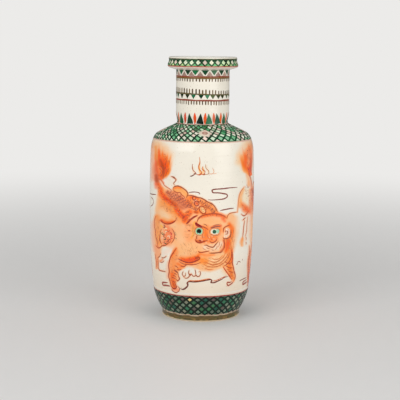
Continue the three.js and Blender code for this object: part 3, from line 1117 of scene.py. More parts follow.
# Each wash: tint, strength, softness of its edge, then its places
HIND_WASHES = {
    "tail_haze_top": ("peach", 0.5, 5, ((154, 146, 3.5), (163, 149, 4.5), (170, 154, 3))),
    "tail_haze": ("peach", 0.6, 5, ((157, 145, 5.5), (161, 152, 7), (163, 160, 8.5))),
    "tail_fan": ((240, 108, 40), 0.6, 4, ((163, 154, 1), (166.5, 158, 2.4), (167.6, 165, 2.6),
        (166.4, 172, 2))),
    "tail_left": ((248, 168, 130), 0.7, 4, ((151.6, 144, 1.4), (152, 154, 2.4), (152.4, 166, 3),
        (152.6, 178, 2.4))),
    "tail_left_low": ((214, 112, 74), 0.55, 3.4, ((156.4, 160, 0.6), (155.6, 168, 2.2), (156.4, 178, 2.2))),
    "tail_heart": ("flame", 0.55, 3, ((164, 160, 0.6), (166, 165, 1.8), (166, 170, 2), (164.6, 176, 1.6))),
    "tail_ochre": ("ochre", 0.8, 1.5, ((156, 147, 1.1), (156, 153, 1.4), (155.8, 159, 1.3))),
    "tail_streak": ((232, 96, 44), 0.6, 2, ((159, 150, 0.8), (159.4, 156, 1.2), (160, 161, 1.6))),
    "tail_core": ((150, 66, 30), 0.75, 2, ((160.4, 160, 0.4), (162, 164.2, 1.2), (163.4, 168, 1.1),
        (163.8, 173, 0.9), (162.8, 178, 1))),
    "tail_low": ((205, 96, 60), 0.5, 3.2, ((157, 163, 1), (156.4, 169, 2.4), (156.8, 175, 2.4),
        (157, 181, 2.4))),
    "curl_light": ((244, 146, 104), 0.9, 1, ((158.4, 167, 1.3), (159.8, 169.6, 2), (160, 173, 1.5))),
    "stem": ((180, 70, 42), 0.8, 1.5, ((156.6, 176, 1.8), (157, 180, 2.2), (157.5, 183.5, 1.8))),
    "stem_pink": ("rose", 0.8, 1, ((159.5, 177.3, 0.9), (161.5, 180, 0.9), (163.5, 183, 0.8))),
    "stem_left": ("rose", 0.7, 1.5, ((155.6, 184, 1.6), (156, 187.5, 1.5))),
    "plume": ((250, 232, 214), 0.95, 1.2, ((166.5, 181, 2), (170, 181, 3), (170.5, 185, 2.4),
        (167, 184, 1.8))),
    "haunch_glow": ("apricot", 0.8, 2, ((163, 219.5, 1.6), (167, 221, 1.8), (171, 220.5, 1.6))),
    "haunch_shadow": ("ember", 0.8, 1.2, ((161, 220.2, 1), (163.5, 222, 1.3), (167, 223, 1.3),
        (170.5, 222.8, 1), (174, 221.2, 0.8))),
    "rear_leg": ("apricot", 0.75, 2, ((157.5, 217, 2.5), (157.8, 226, 2.4), (158, 236, 2.6),
        (158.3, 244, 2.6))),
    "rear_leg_left": ((250, 190, 165), 0.7, 1.6, ((152.6, 222, 1.6), (152.2, 232, 1.6), (153, 242, 1.8),
        (154.5, 250, 2))),
    "rear_shin": ("sand", 0.85, 1.4, ((157, 247, 2.8), (157.6, 252, 2.6), (157.2, 257, 1.8), (157, 264, 1.2),
        (157.2, 268, 1))),
    "tuft_ground": ((238, 134, 100), 0.75, 2.6, ((166, 227.5, 3), (168.4, 232, 4.6), (168.8, 236.5, 5),
        (167, 241.5, 4))),
    "leg_gap": ((252, 212, 192), 0.6, 3, ((172, 247, 2.6), (168, 250.5, 3), (164.5, 253, 2))),
    "tuft_yellow": ("yellow", 0.8, 0.9, ((161.2, 225.6, 0.8), (162.2, 227.4, 0.6))),
    "claw": ((225, 120, 70), 0.7, 1, ((160.6, 260.8, 1.1), (162.5, 259.5, 0.8))),
}
FORE_WASHES = {
    "flank_pale": ("cream", 0.6, 4, ((163, 212, 4), (168, 215, 4))),
    "flank_glow": ("apricot", 0.75, 4, ((163, 203, 4.5), (169, 207, 5), (174, 212, 4.5), (179, 219, 3.5))),
    "left_edge": ("peach", 0.8, 2, ((158.5, 196, 1.5), (157.8, 204, 1.8), (157, 210, 2))),
    "back_band": ((228, 84, 16), 0.95, 2.6, ((159.4, 184.5, 1.6), (160.5, 189, 2.2), (161.5, 194, 2.6),
        (166.5, 199.2, 2.6), (171, 202.6, 2.4), (175.3, 205, 2.2), (177.3, 210, 2.4), (180.3, 213.6, 2.6),
        (184, 217.5, 2.4), (184.5, 220.5, 2))),
    "back_band_dark": ("ember", 0.75, 1.5, ((163.5, 196.5, 0.9), (168, 200.3, 1), (172, 203, 0.9),
        (175.5, 205.2, 0.9), (177, 208.5, 0.8))),
    "shoulder_blade": ((250, 178, 112), 0.85, 1.6, ((175.5, 189, 2.6), (179, 189.5, 3.2), (183, 191.5, 3),
        (186, 194.5, 2))),
    "blade_top": ("flame", 0.7, 1.2, ((174.5, 188, 0.8), (177.5, 187, 0.9), (181, 187.8, 0.8))),
    "scale_patch": ((198, 118, 94), 0.85, 2, ((168, 193, 2.6), (173, 196.5, 4.6), (178, 200.5, 6),
        (183, 204, 6), (187, 204, 4.5))),
    "back_orange": ((240, 145, 85), 0.85, 2.4, ((190, 200, 4.5), (196, 203, 6), (201, 208, 6),
        (206, 211, 5.5))),
    "back_right": ((242, 160, 105), 0.85, 1.6, ((202, 201.5, 2.5), (208, 205, 3.6), (212.5, 209, 3.6),
        (215, 213, 3))),
    "patch_red": ((180, 62, 22), 0.8, 1.4, ((195.2, 212.2, 1.4), (197, 212.6, 1.2))),
    "rosette_pale": ((255, 208, 186), 0.7, 1.2, ((195.6, 201.6, 2.2), (197.6, 205.2, 2.4))),
    "rosette_heart": ((196, 52, 24), 0.8, 0.9, ((196.4, 203, 0.8), (197.2, 204, 0.8))),
    "oval_pale": ((255, 228, 180), 0.95, 1, ((201.5, 208.4, 1.4), (203.5, 211.4, 1.5))),
    "crest_red": ((200, 78, 40), 0.7, 1.2, ((190.6, 197.4, 0.7), (194.6, 197, 0.8), (198.4, 199, 0.6))),
    "mane_orange": ("flame", 0.75, 3, ((190, 212, 3), (186, 216.5, 3), (186.5, 221, 2.6))),
    "mane_left": ((251, 176, 128), 0.8, 4, ((190, 224, 4), (189, 231, 5), (190, 238, 5))),
    "forehead": ((253, 192, 142), 0.9, 2, ((201, 220.5, 2.5), (208, 220.3, 3.2), (215, 221, 3.2),
        (220, 222.5, 2))),
    "crown_shade": ((228, 112, 66), 0.8, 1.8, ((201.5, 217, 1.2), (207, 214.8, 1.6), (214, 214.2, 1.8),
        (220, 215, 2), (224.5, 217, 1.8))),
    "crown_brown": ((198, 100, 62), 0.7, 1.2, ((217, 214.4, 1.2), (221, 215.4, 1.4))),
    "crown_blush": ((252, 120, 82), 0.7, 1.4, ((222.5, 219, 1.5), (224.8, 221, 1.4))),
    "face_orange": ((243, 146, 88), 0.85, 3, ((197, 229, 3.5), (206, 230, 4.5), (207, 238, 4.5),
        (214, 236, 4.5), (219.5, 230, 3))),
    "bridge": ((240, 112, 48), 0.6, 2.4, ((205, 229, 0.8), (205.6, 233, 1.6), (205, 237, 1.4))),
    "muzzle": ((238, 148, 96), 0.75, 2.4, ((199, 239, 3), (205, 240, 3), (213, 239.6, 3.2))),
    "nose_red": ((132, 30, 22), 0.75, 1.3, ((196.4, 240.8, 0.8), (200.2, 241.6, 1.3), (203.8, 241.2, 0.8))),
    "nose_light": ((222, 168, 138), 0.85, 1.2, ((197.2, 235.4, 0.9), (197.8, 238.4, 1.2))),
    "nose_green": ((150, 150, 112), 0.6, 1, ((196.6, 236.4, 0.5), (197, 238.4, 0.5))),
    "brow_shade": ((198, 104, 78), 0.8, 1.1, ((211.4, 227.6, 1), (216, 226.3, 1.4), (220.6, 225.8, 1.2))),
    "brow_red": ((160, 24, 12), 0.85, 0.8, ((196.6, 224.9, 0.9), (199.4, 225.9, 1), (202, 227, 0.5))),
    "mane_yellow": ("yellow", 0.75, 1.2, ((194.2, 222.5, 0.8), (192.9, 229, 1.1), (193.4, 234, 1),
        (191.6, 238, 0.7))),
    "muzzle_white": ((250, 228, 205), 0.9, 1.6, ((205, 247.5, 2.6), (211, 248.5, 3), (217, 247, 3.2),
        (220.5, 244, 2.6))),
    "chest_pale": ((254, 197, 148), 0.85, 3, ((182, 250, 5.5), (190, 249, 6.5), (197, 250, 4))),
    "chest_orange": ((236, 84, 10), 1, 3.6, ((181, 258.6, 1), (186, 260, 2.2), (191, 260.2, 2.8),
        (195.6, 258.6, 2.8), (198, 256, 1.2))),
    "chest_dark": ((186, 74, 26), 0.65, 2.4, ((181.5, 260.4, 0.2), (186, 261.8, 0.7), (191, 262, 0.9),
        (195.6, 260.4, 0.9), (198.6, 257.6, 1))),
    "chest_spot": ((110, 30, 16), 0.85, 1.2, ((195.8, 258, 0.4), (198.2, 257.6, 1))),
    "belly": ((255, 206, 156), 0.85, 2.4, ((203, 262, 5), (211, 263, 6), (219, 262, 6), (225, 258, 5))),
    "under_chin": ((240, 100, 36), 0.7, 2.2, ((199.5, 253.6, 0.3), (204, 255.2, 1), (209, 255.4, 0.8),
        (214, 255, 0.2))),
    "belly_orange": ((242, 132, 52), 0.8, 2.4, ((201.5, 260.5, 3), (205, 261, 3))),
    "belly_pale": ((255, 222, 184), 0.8, 2, ((212, 259.5, 2.5), (217, 260.5, 2.8), (221, 260, 2.2))),
    "beard_band": ((176, 92, 70), 0.75, 1.1, ((223.4, 240.2, 0.8), (224.6, 244, 1.1), (223.5, 248.4, 1.1),
        (220.4, 251.7, 0.9))),
    "flank_right": ((250, 158, 94), 0.9, 3, ((229, 230, 5), (230, 240, 4.5), (229.5, 250, 4))),
    "flank_fire": ((238, 92, 28), 0.9, 2.4, ((228, 240, 1.8), (228, 243.5, 2.2), (227, 247.5, 1.8),
        (226, 251.5, 1.2))),
    "ear_back": ((250, 104, 40), 0.9, 2.6, ((229.6, 224, 1.2), (232.4, 229, 2.2), (232, 236, 2))),
    "ear_inner": ((255, 240, 226), 0.97, 1.2, ((227.4, 230.6, 2.6), (227, 234, 2.7), (225.6, 236.6, 1.7))),
    "right_edge": ((252, 200, 158), 0.7, 2.6, ((236, 218, 2.6), (236.5, 226, 3), (235, 236, 3),
        (233, 245, 2.2))),
    "right_leg": ((248, 142, 74), 0.85, 1.8, ((230, 256, 2.6), (229.5, 262, 2.8), (229.5, 268, 2.8),
        (231, 273.5, 2.2), (232.8, 278, 1.5))),
    "right_leg_edge": ((225, 95, 40), 0.75, 1.2, ((231.9, 250, 0.7), (232, 256, 1), (231.8, 262, 0.8))),
    "leg_halo": ((251, 200, 150), 0.5, 2.4, ((223, 270, 1.8), (226, 274, 1.6))),
    "left_leg": ((245, 160, 105), 0.85, 1.8, ((176, 252, 2.6), (174, 258, 3.4), (172.5, 265, 3.4),
        (172.8, 272, 3), (173, 279, 2.6), (174, 286, 1.8))),
    "left_leg_low": ((234, 122, 66), 0.75, 1.6, ((172, 274, 2), (172.8, 280, 2.2), (174, 286, 1.6))),
    "left_leg_halo": ((250, 184, 152), 0.6, 1.8, ((168, 262, 1.1), (167.3, 270, 1.2), (167.5, 278, 1))),
    "leg_top": ((236, 112, 50), 0.75, 1.5, ((176, 248.5, 1), (173.6, 252, 1.3), (171.6, 256, 1.1))),
    "chest_folds": ((240, 120, 60), 0.7, 1.8, ((178, 264, 1.8), (183, 266.5, 1.6), (178.5, 269, 1.2))),
    "shin_dark": ((150, 52, 34), 0.65, 1.4, ((173, 281, 0.4), (173.8, 284.4, 0.9), (174.8, 287.4, 1))),
    "left_paw": ((228, 140, 108), 0.7, 1.6, ((174, 289.5, 1.6), (177, 290, 1.8))),
    "belly_fleece": ("ivory", 0.9, 1.6, ((184.5, 272.5, 3), (190, 272.5, 3.4), (196, 272.5, 3.6),
        (199, 273.5, 2.2))),
}
# The hind part of the next lion, as far as it shows at the right
NEXT_WASHES = {
    "next_tail_soft": ((250, 190, 130), 0.6, 4, ((240, 157, 3), (238.5, 162, 2.4))),
    "next_tail_haze": ("peach", 0.6, 4, ((247, 143, 4), (245, 154, 7), (246, 166, 5))),
    "next_tail": ((240, 116, 56), 0.5, 3.5, ((249.5, 146, 1), (248.4, 155, 2.4), (248.6, 165, 2.4))),
    "next_tail_left": ((240, 130, 50), 0.5, 2.6, ((242.5, 156, 0.6), (242.5, 163, 0.8))),
    "next_tail_edge": ((238, 124, 52), 0.5, 3, ((251.2, 141, 0.2), (251.2, 151, 0.9), (251, 159, 0.1),
        (250.8, 166, -1.6))),
    "next_curl": ((235, 170, 130), 0.9, 1.4, ((247.6, 149.5, 1.6), (249, 157, 2), (248, 165.5, 1.5))),
    "next_stem": ((250, 180, 130), 0.8, 1.6, ((247.6, 175, 1.6), (248.6, 180, 1.6), (248.8, 185, 1.6))),
    "next_thigh_glow": ((248, 176, 110), 0.8, 2, ((243.6, 190, 1), (241, 196, 1.6), (240.4, 206, 1.8))),
    "next_thigh": ((255, 228, 194), 0.8, 2.4, ((247, 191, 2.4), (246, 199, 3), (246, 206, 3))),
    "next_back_soft": ((244, 150, 90), 0.7, 2.2, ((250.4, 190, 0.8), (250.6, 200, 1), (250.2, 210, 1))),
    "next_knee": ((242, 96, 34), 0.85, 3.4, ((242.6, 205, 1.6), (245.6, 208.6, 3.2), (248.4, 211.4, 2.6))),
    "next_back": ((230, 108, 62), 0.65, 2.8, ((251, 181, -0.8), (251.2, 191, 0.7), (251.2, 204, 0.7),
        (251, 214, -0.2), (250.8, 223, -1.6))),
    "next_foot": ((235, 150, 80), 0.8, 1.6, ((242.5, 239, 1.4), (241.5, 242.5, 1.8), (242, 245, 1.4))),
    "next_strip": ((248, 172, 124), 0.6, 2.8, ((250.6, 209, -0.8), (250.6, 221, 1), (250.4, 237, 1),
        (250.2, 247, -0.6))),
    "next_shin": ((238, 124, 70), 0.6, 2, ((249.8, 248, -0.8), (249.2, 262, 0.8), (249, 278, 0.6),
        (249.2, 284, -1))),
}

# Each line: tint, width in mm, then the places of its strokes
HIND_LINES = {
    "curl": ("umber", 0.8, ((159.9, 165.4), (162.2, 167.6), (162.7, 171), (161.8, 174.4), (159.9, 176.6))),
    "curl_in": ("umber", 0.6, ((159.2, 168.2), (161, 169.8), (160.8, 172.6), (159.4, 174))),
    "tail_spot": ("ember", 1.1, ((163, 174), (163.2, 176), (163, 178))),
    "plume_top": ("umber", 1.1, ((171, 176.5), (174.1, 177.3), (176, 179.6))),
    "tuft_left": ("brick", 0.9, ((161.4, 229), (160.2, 233.4), (159.8, 237.5), (160.3, 241.5),
        (161.6, 244.4))),
    "tuft_right": ("brick", 0.7, ((171.6, 228.4), (174, 232), (174.6, 236.4), (173.4, 240.4), (171, 243.6))),
    "plume_side": ("umber", 0.9, ((173, 177.6), (175.2, 178.6), (176.1, 180.1), (174.9, 181.7),
        (173.6, 183.3), (174.6, 185.2))),
    "upper_back": ((206, 104, 66), 1, ((159.2, 177.9), (162.8, 182.4), (164.3, 185.2), (167.9, 187.8),
        (170.4, 189.4), (172.3, 192))),
    "haunch": ("brick", 1.2, ((160.2, 219.8), (161.9, 221.8), (165.1, 223.6), (168.4, 224), (172.5, 222.8),
        (175.8, 220.2), (176.2, 217.7))),
    "outer_leg": ("rust", 1.2, ((155.8, 216.1), (154.5, 220.2), (154.3, 225.5), (155.3, 230.4),
        (155.8, 236.1), (157, 241), (158.2, 247.9))),
    "inner_leg": ("brick", 1, ((159.8, 236.5), (159.8, 240.6), (161.5, 243.8))),
    "hock": ("rust", 1.1, ((155.8, 245.5), (158.2, 247.9), (160.2, 247.5), (161.9, 245.9), (165.1, 245.5),
        (168.4, 243), (170.9, 241.4))),
    "shin_left": ("rust", 1, ((155.3, 254), (155.8, 258.9), (156.6, 263), (156.2, 268.3))),
    "shin_right": ("rust", 1.2, ((157.8, 258.1), (158.2, 263), (158.2, 267.9), (159.8, 270.4),
        (165.6, 271.6))),
    "ankle": ("umber", 0.9, ((160.7, 253.2), (159.8, 256.1), (157.8, 257.7))),
    "claws": ("mauve", 1, ((161.5, 257.7), (164.3, 257.7), (166.4, 256.1))),
    "claw_low": ("mauve", 0.8, ((160, 262), (162.2, 262.4), (164, 260.8))),
}
FORE_LINES = {
    "back": ("umber", 1.1, ((187.3, 195.8), (192, 195.6), (198, 197.5), (201.2, 198.1), (204.4, 199.7),
        (207.6, 201.9), (212.1, 203.9), (214.6, 206.4), (216.5, 209.6), (217.6, 212))),
    "blade": ("umber", 1.1, ((173, 188.8), (174.2, 186.8), (177.4, 185.9), (180.6, 186.8), (183.8, 188.8),
        (186.7, 191.3), (187.9, 193.9), (187.3, 195.8), (186.4, 198))),
    "blade_under": ("rust", 0.9, ((173, 189.4), (174.9, 191.6), (177.4, 192.6), (180, 192.6), (182, 195),
        (184.4, 196.6))),
    "mane_upper": ("brick", 1.9, ((197.7, 215.3), (193.6, 217.3), (190.4, 219.8), (188.1, 222.2),
        (186.2, 224.2))),
    "mane_second": ("rust", 1, ((203.1, 215.3), (200.6, 216.9), (198, 219.5), (196.8, 222.5))),
    "crown": ("rust", 1.1, ((197.4, 218.3), (201.5, 215.9), (207.8, 214.2), (214, 213.8), (219.7, 214.3),
        (224, 216), (226.9, 218.3))),
    "mane_side": ("ochre", 1.2, ((193.2, 225.2), (192.9, 230.7), (194.1, 234.1), (192, 237.4))),
    "mane_dash": ("brick", 1.1, ((188, 230.7), (190.4, 230.7))),
    "brow_left": ((150, 14, 10), 2.8, ((195.4, 222.4), (196.8, 224.4), (199.4, 226), (202.4, 227.2))),
    "brow_inner": ("rust", 1, ((202.2, 226.4), (204.6, 227.4), (206.8, 228.6), (208.2, 229.6))),
    "brow_wrinkle": ("umber", 0.6, ((203.4, 224), (205.8, 224.8), (207.4, 226.2))),
    "brow_right": ("mauve", 1.3, ((210.7, 228.2), (213, 227.3), (216.4, 226.6), (220.6, 226.6))),
    "brow_top": ("mauve", 0.7, ((212.6, 226), (216, 224.9), (220, 224.6))),
    "nose": ("brick", 1.2, ((195, 239.3), (196.9, 242), (200.2, 242.9), (203.3, 241.7), (205.1, 241.1),
        (207, 240.2))),
    "nostril": ("maroon", 1.5, ((198.8, 240.2), (200.2, 240.8), (201.2, 241.6))),
    "nose_side": ("rust", 0.9, ((197, 235.5), (196.4, 237.6), (196, 239.6))),
    "cheek": ("rust", 1, ((209.4, 241.1), (211.9, 242.6), (214.3, 242), (216.5, 240.2), (216.8, 238.4))),
    "mouth": ("umber", 1.1, ((204.2, 245.4), (206.4, 245.1), (209.4, 246.6), (213.1, 247.2), (214.9, 245.4),
        (217.1, 242.9), (218.3, 241.1))),
    "beard_hairs": ("beard", 0.6, ((219.6, 241.8), (219.4, 244.4), (218.2, 247.2)), ((217.2, 245.6),
        (216.8, 247.6), (215.4, 249.8)), ((206.4, 247.4), (208, 248.4), (210.2, 248.9)), ((221.6, 243.4),
        (221.2, 245.8), (219.8, 248.6)), ((211.6, 249.6), (213, 250.3), (214.4, 250.1))),
    "beard_hair_f": ("beard", 0.5, ((202.6, 247.6), (204, 249), (206, 249.8))),
    "muzzle_hairs": ((206, 96, 56), 0.6, ((207, 233.4), (207.4, 236), (209, 238.6)), ((210.4, 236.4),
        (211, 238.4), (212.6, 240)), ((202.6, 234.4), (202.2, 236.4), (202.8, 238.4))),
    "beard_right": ("rust", 1.1, ((224.1, 238.9), (224.1, 241.4), (224.7, 244.5), (224.1, 247.8),
        (222.6, 250.3))),
    "chin": ("rust", 1.2, ((198.1, 251.2), (200.2, 252.4), (205.1, 251.8), (209.4, 250.9))),
    "chin_low": ("umber", 1.1, ((208.9, 253), (213.3, 253.1), (217.7, 252.7), (221.2, 252.2), (223, 250.1))),
    "ear_left": ("rust", 1.1, ((223.2, 232.5), (223.8, 228.2), (226.3, 226.4), (229.9, 224.9))),
    "ear_right": ("umber", 1.1, ((230.9, 229.5), (231, 233), (230.4, 236), (227.8, 238.3), (224.1, 238.7),
        (222.9, 237.1))),
    "ear_dot": ("umber", 0.9, ((227.1, 230.9), (227.8, 232.3))),
    "leg_bars": ("rust", 0.8, ((224.4, 261.6), (227.6, 263.2), (231.4, 263)), ((226, 265.8), (229, 267.6),
        (232.8, 267.8)), ((228.2, 270.6), (230.8, 272), (233.6, 272.2))),
    "fur_ticks_high": ("rust", 1, ((174.6, 265.6), (176.6, 266.6), (178.4, 268.2)), ((173.6, 270.4),
        (175.4, 271.2), (177.2, 272.8))),
    "fur_ticks_low": ("rust", 0.9, ((172.6, 275.2), (174.6, 275.8), (176.4, 277.4)), ((172, 281),
        (173.8, 281.6), (175.4, 282.8))),
    "ear_fold": ("mauve", 0.9, ((226, 231), (227.6, 231.4), (227.4, 233.6), (225.4, 234.4))),
    "right_shoulder": ((190, 100, 40), 1.1, ((227, 218.2), (227.7, 215.7), (229.9, 213.4), (234, 212.5),
        (236.9, 212.2))),
    "chest_arc": ("brick", 1.3, ((177.8, 258.5), (181.9, 260.6), (186.4, 262.3), (190.5, 262.5),
        (195, 261.3), (199.2, 259.2), (199.8, 257.8), (197.8, 256.8))),
    "chest_arc_low": ("rust", 1, ((178.8, 261.3), (183.7, 264), (187.1, 264.4), (192.6, 264.7), (196.8, 264),
        (200.9, 262.3))),
    "folds": ("rust", 1, ((180.2, 265.8), (183.7, 266.5), (186.8, 264.8)), ((176.8, 269.5), (179, 270),
        (181.6, 269.2))),
    "left_leg_outer": ("rust", 1.3, ((176.4, 248.2), (173.3, 252.7), (170.9, 256.5), (169.5, 260.6),
        (168.7, 265.4), (169.2, 271.3), (168.7, 276.4), (169.9, 280.9), (171.3, 286.1), (173.3, 288.5))),
    "left_leg_inner": ("umber", 0.9, ((174.4, 269.5), (177.5, 272.3), (178.5, 276.4))),
    "heel": ("brick", 1.2, ((176.1, 279.2), (177.5, 280.9), (179.2, 279.5), (179.5, 278.2), (178.2, 276.1))),
    "shin_folds": ("rust", 0.9, ((174, 273), (175.4, 273.6), (176.8, 275.1)), ((172, 277.5), (174, 278),
        (176.1, 279.2))),
    "toe": ("brick", 1.3, ((171.3, 286.1), (173.3, 288.5), (175.4, 288.5), (176.4, 286.8), (175.1, 283.3))),
    "left_paw": ("mauve", 1, ((171.6, 288.5), (172.6, 290.9), (176.1, 292.6), (178.8, 291.2), (179.5, 288.5),
        (177.5, 286.1))),
    "right_leg_outer": ("rust", 1.2, ((231.5, 249.5), (232.3, 253.3), (232.6, 257.7), (232.3, 262.4),
        (233.2, 266.5), (234.1, 271.2), (235.1, 274.8), (235, 278.3), (233.5, 281.2))),
    "right_leg_inner": ((200, 70, 10), 1.3, ((223.2, 266.8), (224.7, 269.2), (226.5, 271.8), (228.5, 274.5),
        (230.3, 277.4), (231.8, 279.7))),
    "right_paw": ("maroon", 1.2, ((233.5, 281.2), (232.3, 283), (230.3, 284.4), (228.2, 285.6),
        (227.1, 284.4), (227.4, 282.4), (229.4, 282.4), (232, 281.7))),
    "leg_fold": ("rust", 1.1, ((231.6, 251.5), (231.4, 256.4), (229.4, 261.4), (226.8, 264.2),
        (223.6, 266.4))),
    "belly_arc_top": ((210, 112, 54), 0.8, ((211.4, 258), (215, 259.6), (219.4, 258.6), (222.6, 255.6))),
    "belly_arc_high": ((210, 112, 54), 0.9, ((208, 260.2), (213.7, 262.2), (218.6, 261), (223.4, 257),
        (225.4, 253))),
    "belly_arc": ((206, 104, 48), 1, ((205.1, 261.9), (208.4, 263.6), (213, 264.8), (219.4, 263.4),
        (225, 258.6), (228.3, 253.3))),
    "belly_arc_low": ((206, 104, 48), 0.9, ((203.9, 264.7), (208, 266.4), (213.7, 267), (219.6, 265.6),
        (225, 261.8), (228.6, 256.6), (229.9, 251.7))),
    "belly_arc_last": ((214, 118, 60), 0.8, ((205, 268.2), (208.6, 269.6), (213, 269.4))),
    "fleece_curls": ("umber", 0.8, ((183.3, 271.3), (182.3, 274), (183.7, 276.4), (185.4, 275.4),
        (185.7, 273)), ((189.2, 270.2), (188.5, 273), (189.5, 275.1)), ((195, 269.5), (195.7, 272.3),
        (195.4, 274.7))),
    "fleece_v": ("brick", 1.1, ((189.6, 273.6), (190.2, 275), (191.2, 273.8))),
    "fleece_edge": ("umber", 0.9, ((183.7, 276.8), (185.4, 278.2), (187.8, 277.8), (189.9, 275.7),
        (191.6, 274.4), (193, 276.1), (195, 276.1), (196.1, 275.1), (197.1, 276.4), (199.2, 276.4),
        (200.5, 274), (200.2, 271.6), (198.8, 272))),
}
NEXT_LINES = {
    "next_stem": ((185, 60, 20), 1.3, ((247.4, 166.9), (248.9, 170.8), (249.4, 174.8), (250.9, 179.3),
        (251.9, 185.3), (251.9, 190.7))),
    "next_thigh": ((216, 130, 70), 1.3, ((244.4, 186.8), (241.4, 190.7), (239.5, 194.7), (238.5, 200.2),
        (238, 206.7), (237.5, 212.1))),
    "next_shin_front": ("rust", 0.9, ((247.6, 217), (247, 224), (246.6, 231), (245.4, 236.4))),
    "next_knee": ("rust", 1.1, ((241.2, 214.2), (244, 215.9), (246.9, 213.6), (248.5, 210.8))),
    "next_leg": ("rust", 1, ((245.7, 217.6), (244.2, 218.8), (242.6, 220.4))),
    "next_leg_low": ("rust", 1.2, ((244.6, 220.4), (243.8, 226.5), (243.2, 232.7), (242.6, 237.8))),
    "next_tuft": ("umber", 0.9, ((245.8, 237.4), (246.3, 238.6), (246, 240)), ((245.8, 242.2),
        (246.3, 243.1), (246, 244.4))),
    "next_shin": ((200, 80, 30), 2.2, ((249.6, 246), (249.4, 252), (248.8, 256.4), (248.2, 260.6),
        (247.9, 266), (248.1, 272), (248.1, 277), (248.4, 281))),
}
CLOUD_LINES = {
    "cloud_left": ("cloud", 1.2, ((150, 193.2), (151.9, 194.2), (156.1, 194.5))),
    "cloud_loop": ("cloud", 1.1, ((151, 196.7), (152.9, 199.3), (153.5, 201.8), (152.6, 204.7),
        (150.6, 206.6))),
    "ground_warm": ((226, 120, 56), 1, ((187.2, 282.2), (189.4, 280.6), (195, 280.7), (201, 280.2),
        (207, 278.9), (210.2, 278.5))),
    "ground_warm_right": ((214, 110, 64), 1, ((212, 281.2), (216.6, 280.2), (222, 277.8), (226.6, 275.6))),
    "ground": ((118, 44, 22), 1.5, ((180.2, 288.1), (182.3, 289.2), (185, 288.1), (187.1, 286.4),
        (187.8, 285), (187.1, 283), (189.2, 281.6), (194, 281.9), (200.9, 281.3), (207.4, 280),
        (210.6, 279.5), (211.8, 280.6), (210.9, 282.4), (213.6, 282.7), (217.7, 281.2), (221.8, 279.2),
        (224.7, 277.4), (228.2, 276.5))),
    "ground_start": ((104, 42, 28), 1.3, ((180.6, 288.6), (182.6, 289.6), (185.2, 288.6), (187.4, 286.6),
        (188.2, 284.6), (188.2, 283))),
    "ground_left": ((158, 78, 62), 2, ((170.3, 286.1), (166.4, 285.4), (163, 285), (162.7, 282.6),
        (168, 282.6))),
    "ground_far": ("cloud", 0.9, ((163, 271.3), (164.2, 271.5), (165.4, 271.4))),
    "ground_right": ("cloud", 1.2, ((239.3, 281), (242.4, 279.4), (246.3, 277.4))),
    "grass": ("mauve", 0.9, ((236.2, 263.6), (237, 264.5), (238.2, 261.8), (239.6, 261.6), (240.7, 262.5))),
    "grass_far": ("mauve", 0.8, ((242, 260.5), (242.4, 259.7), (242.6, 258.6))),
    "cloud_scroll": ("cloud", 1.4, ((237.5, 187.3), (230, 187.8), (223.9, 188.6), (215.9, 189.2),
        (212.7, 189.8), (212.1, 191.1), (213.3, 192.7), (219.1, 192.9), (223.9, 193.7), (226.7, 194.3),
        (227.4, 195.9), (226.4, 197.5), (223.9, 198.8), (217.5, 199.7), (211.1, 200), (207.9, 199.6))),
    "cloud_low": ("cloud", 1.3, ((219.7, 210.6), (224.8, 209.6), (229.9, 208.6), (234, 208.2))),
    "cloud_stub": ("cloud", 1, ((188.3, 192.5), (193.6, 192), (197.5, 192.3), (199.4, 193), (199.6, 193.9),
        (198.6, 194.1))),
}
# Marks round the near lion alone
NEAR_CLOUDS = ("cloud_left", "cloud_loop", "ground_right", "ground_far", "grass", "grass_far")
FLAME_LINES = {
    "tongue_a": ((178, 96, 52), 0.9, ((190.2, 176.1), (193.7, 175), (195.6, 173), (192.9, 169.9),
        (192.3, 166), (192.9, 163.7))),
    "tongue_b": ((212, 112, 40), 1.1, ((195.6, 173.8), (199.1, 174.6), (201.5, 172.2), (199.1, 169.1),
        (198.7, 166), (199.9, 162.9), (199.5, 156.7))),
    "tongue_c": ((206, 104, 44), 1, ((200.7, 174.6), (203.8, 174.2), (205, 171.5), (202.2, 169.1),
        (203, 166))),
    "tongue_d": ((186, 128, 84), 0.8, ((203.8, 174.6), (208.5, 173.8), (208.5, 170.7), (206.1, 168.4),
        (205.4, 163.7))),
    "tongue_e": ((226, 160, 116), 0.8, ((208.5, 173.8), (212.4, 173.8), (213.9, 171.5), (212.4, 167.6))),
    "tongue_f": ((232, 180, 150), 0.7, ((213.1, 173.8), (215, 173.6), (217, 173))),
    "root_a": ((92, 44, 20), 1.1, ((189.8, 176.3), (191.6, 176.1), (193.4, 175.2), (194.4, 174))),
    "root_b": ((112, 30, 12), 1.1, ((193.6, 173.6), (195.8, 173.9), (197, 174.2))),
    "root_c": ((196, 78, 20), 1.2, ((197.2, 174.4), (199.4, 175), (201.2, 173.8), (201.6, 171.8))),
    "root_d": ((170, 84, 36), 1, ((202.4, 174.2), (204.2, 174.8), (205.4, 173.8))),
}
FLAME_WASHES = {
    "heart_a": ("apricot", 0.3, 1.5, ((193.8, 172.6, 0.6), (193.2, 168, 0.3))),
    "heart_b": ((246, 160, 60), 0.8, 1.3, ((200.2, 172.6, 0.7), (199.2, 168.4, 0.7), (199.6, 163, 0.3))),
    "heart_c": ((246, 160, 60), 0.7, 1.2, ((202.6, 173.6, 0.7), (203.6, 170, 0.5), (203, 167.6, 0.2))),
    "heart_d": ("peach", 0.4, 1.5, ((208, 171.6, 0.9), (206.4, 166, 0.5))),
}

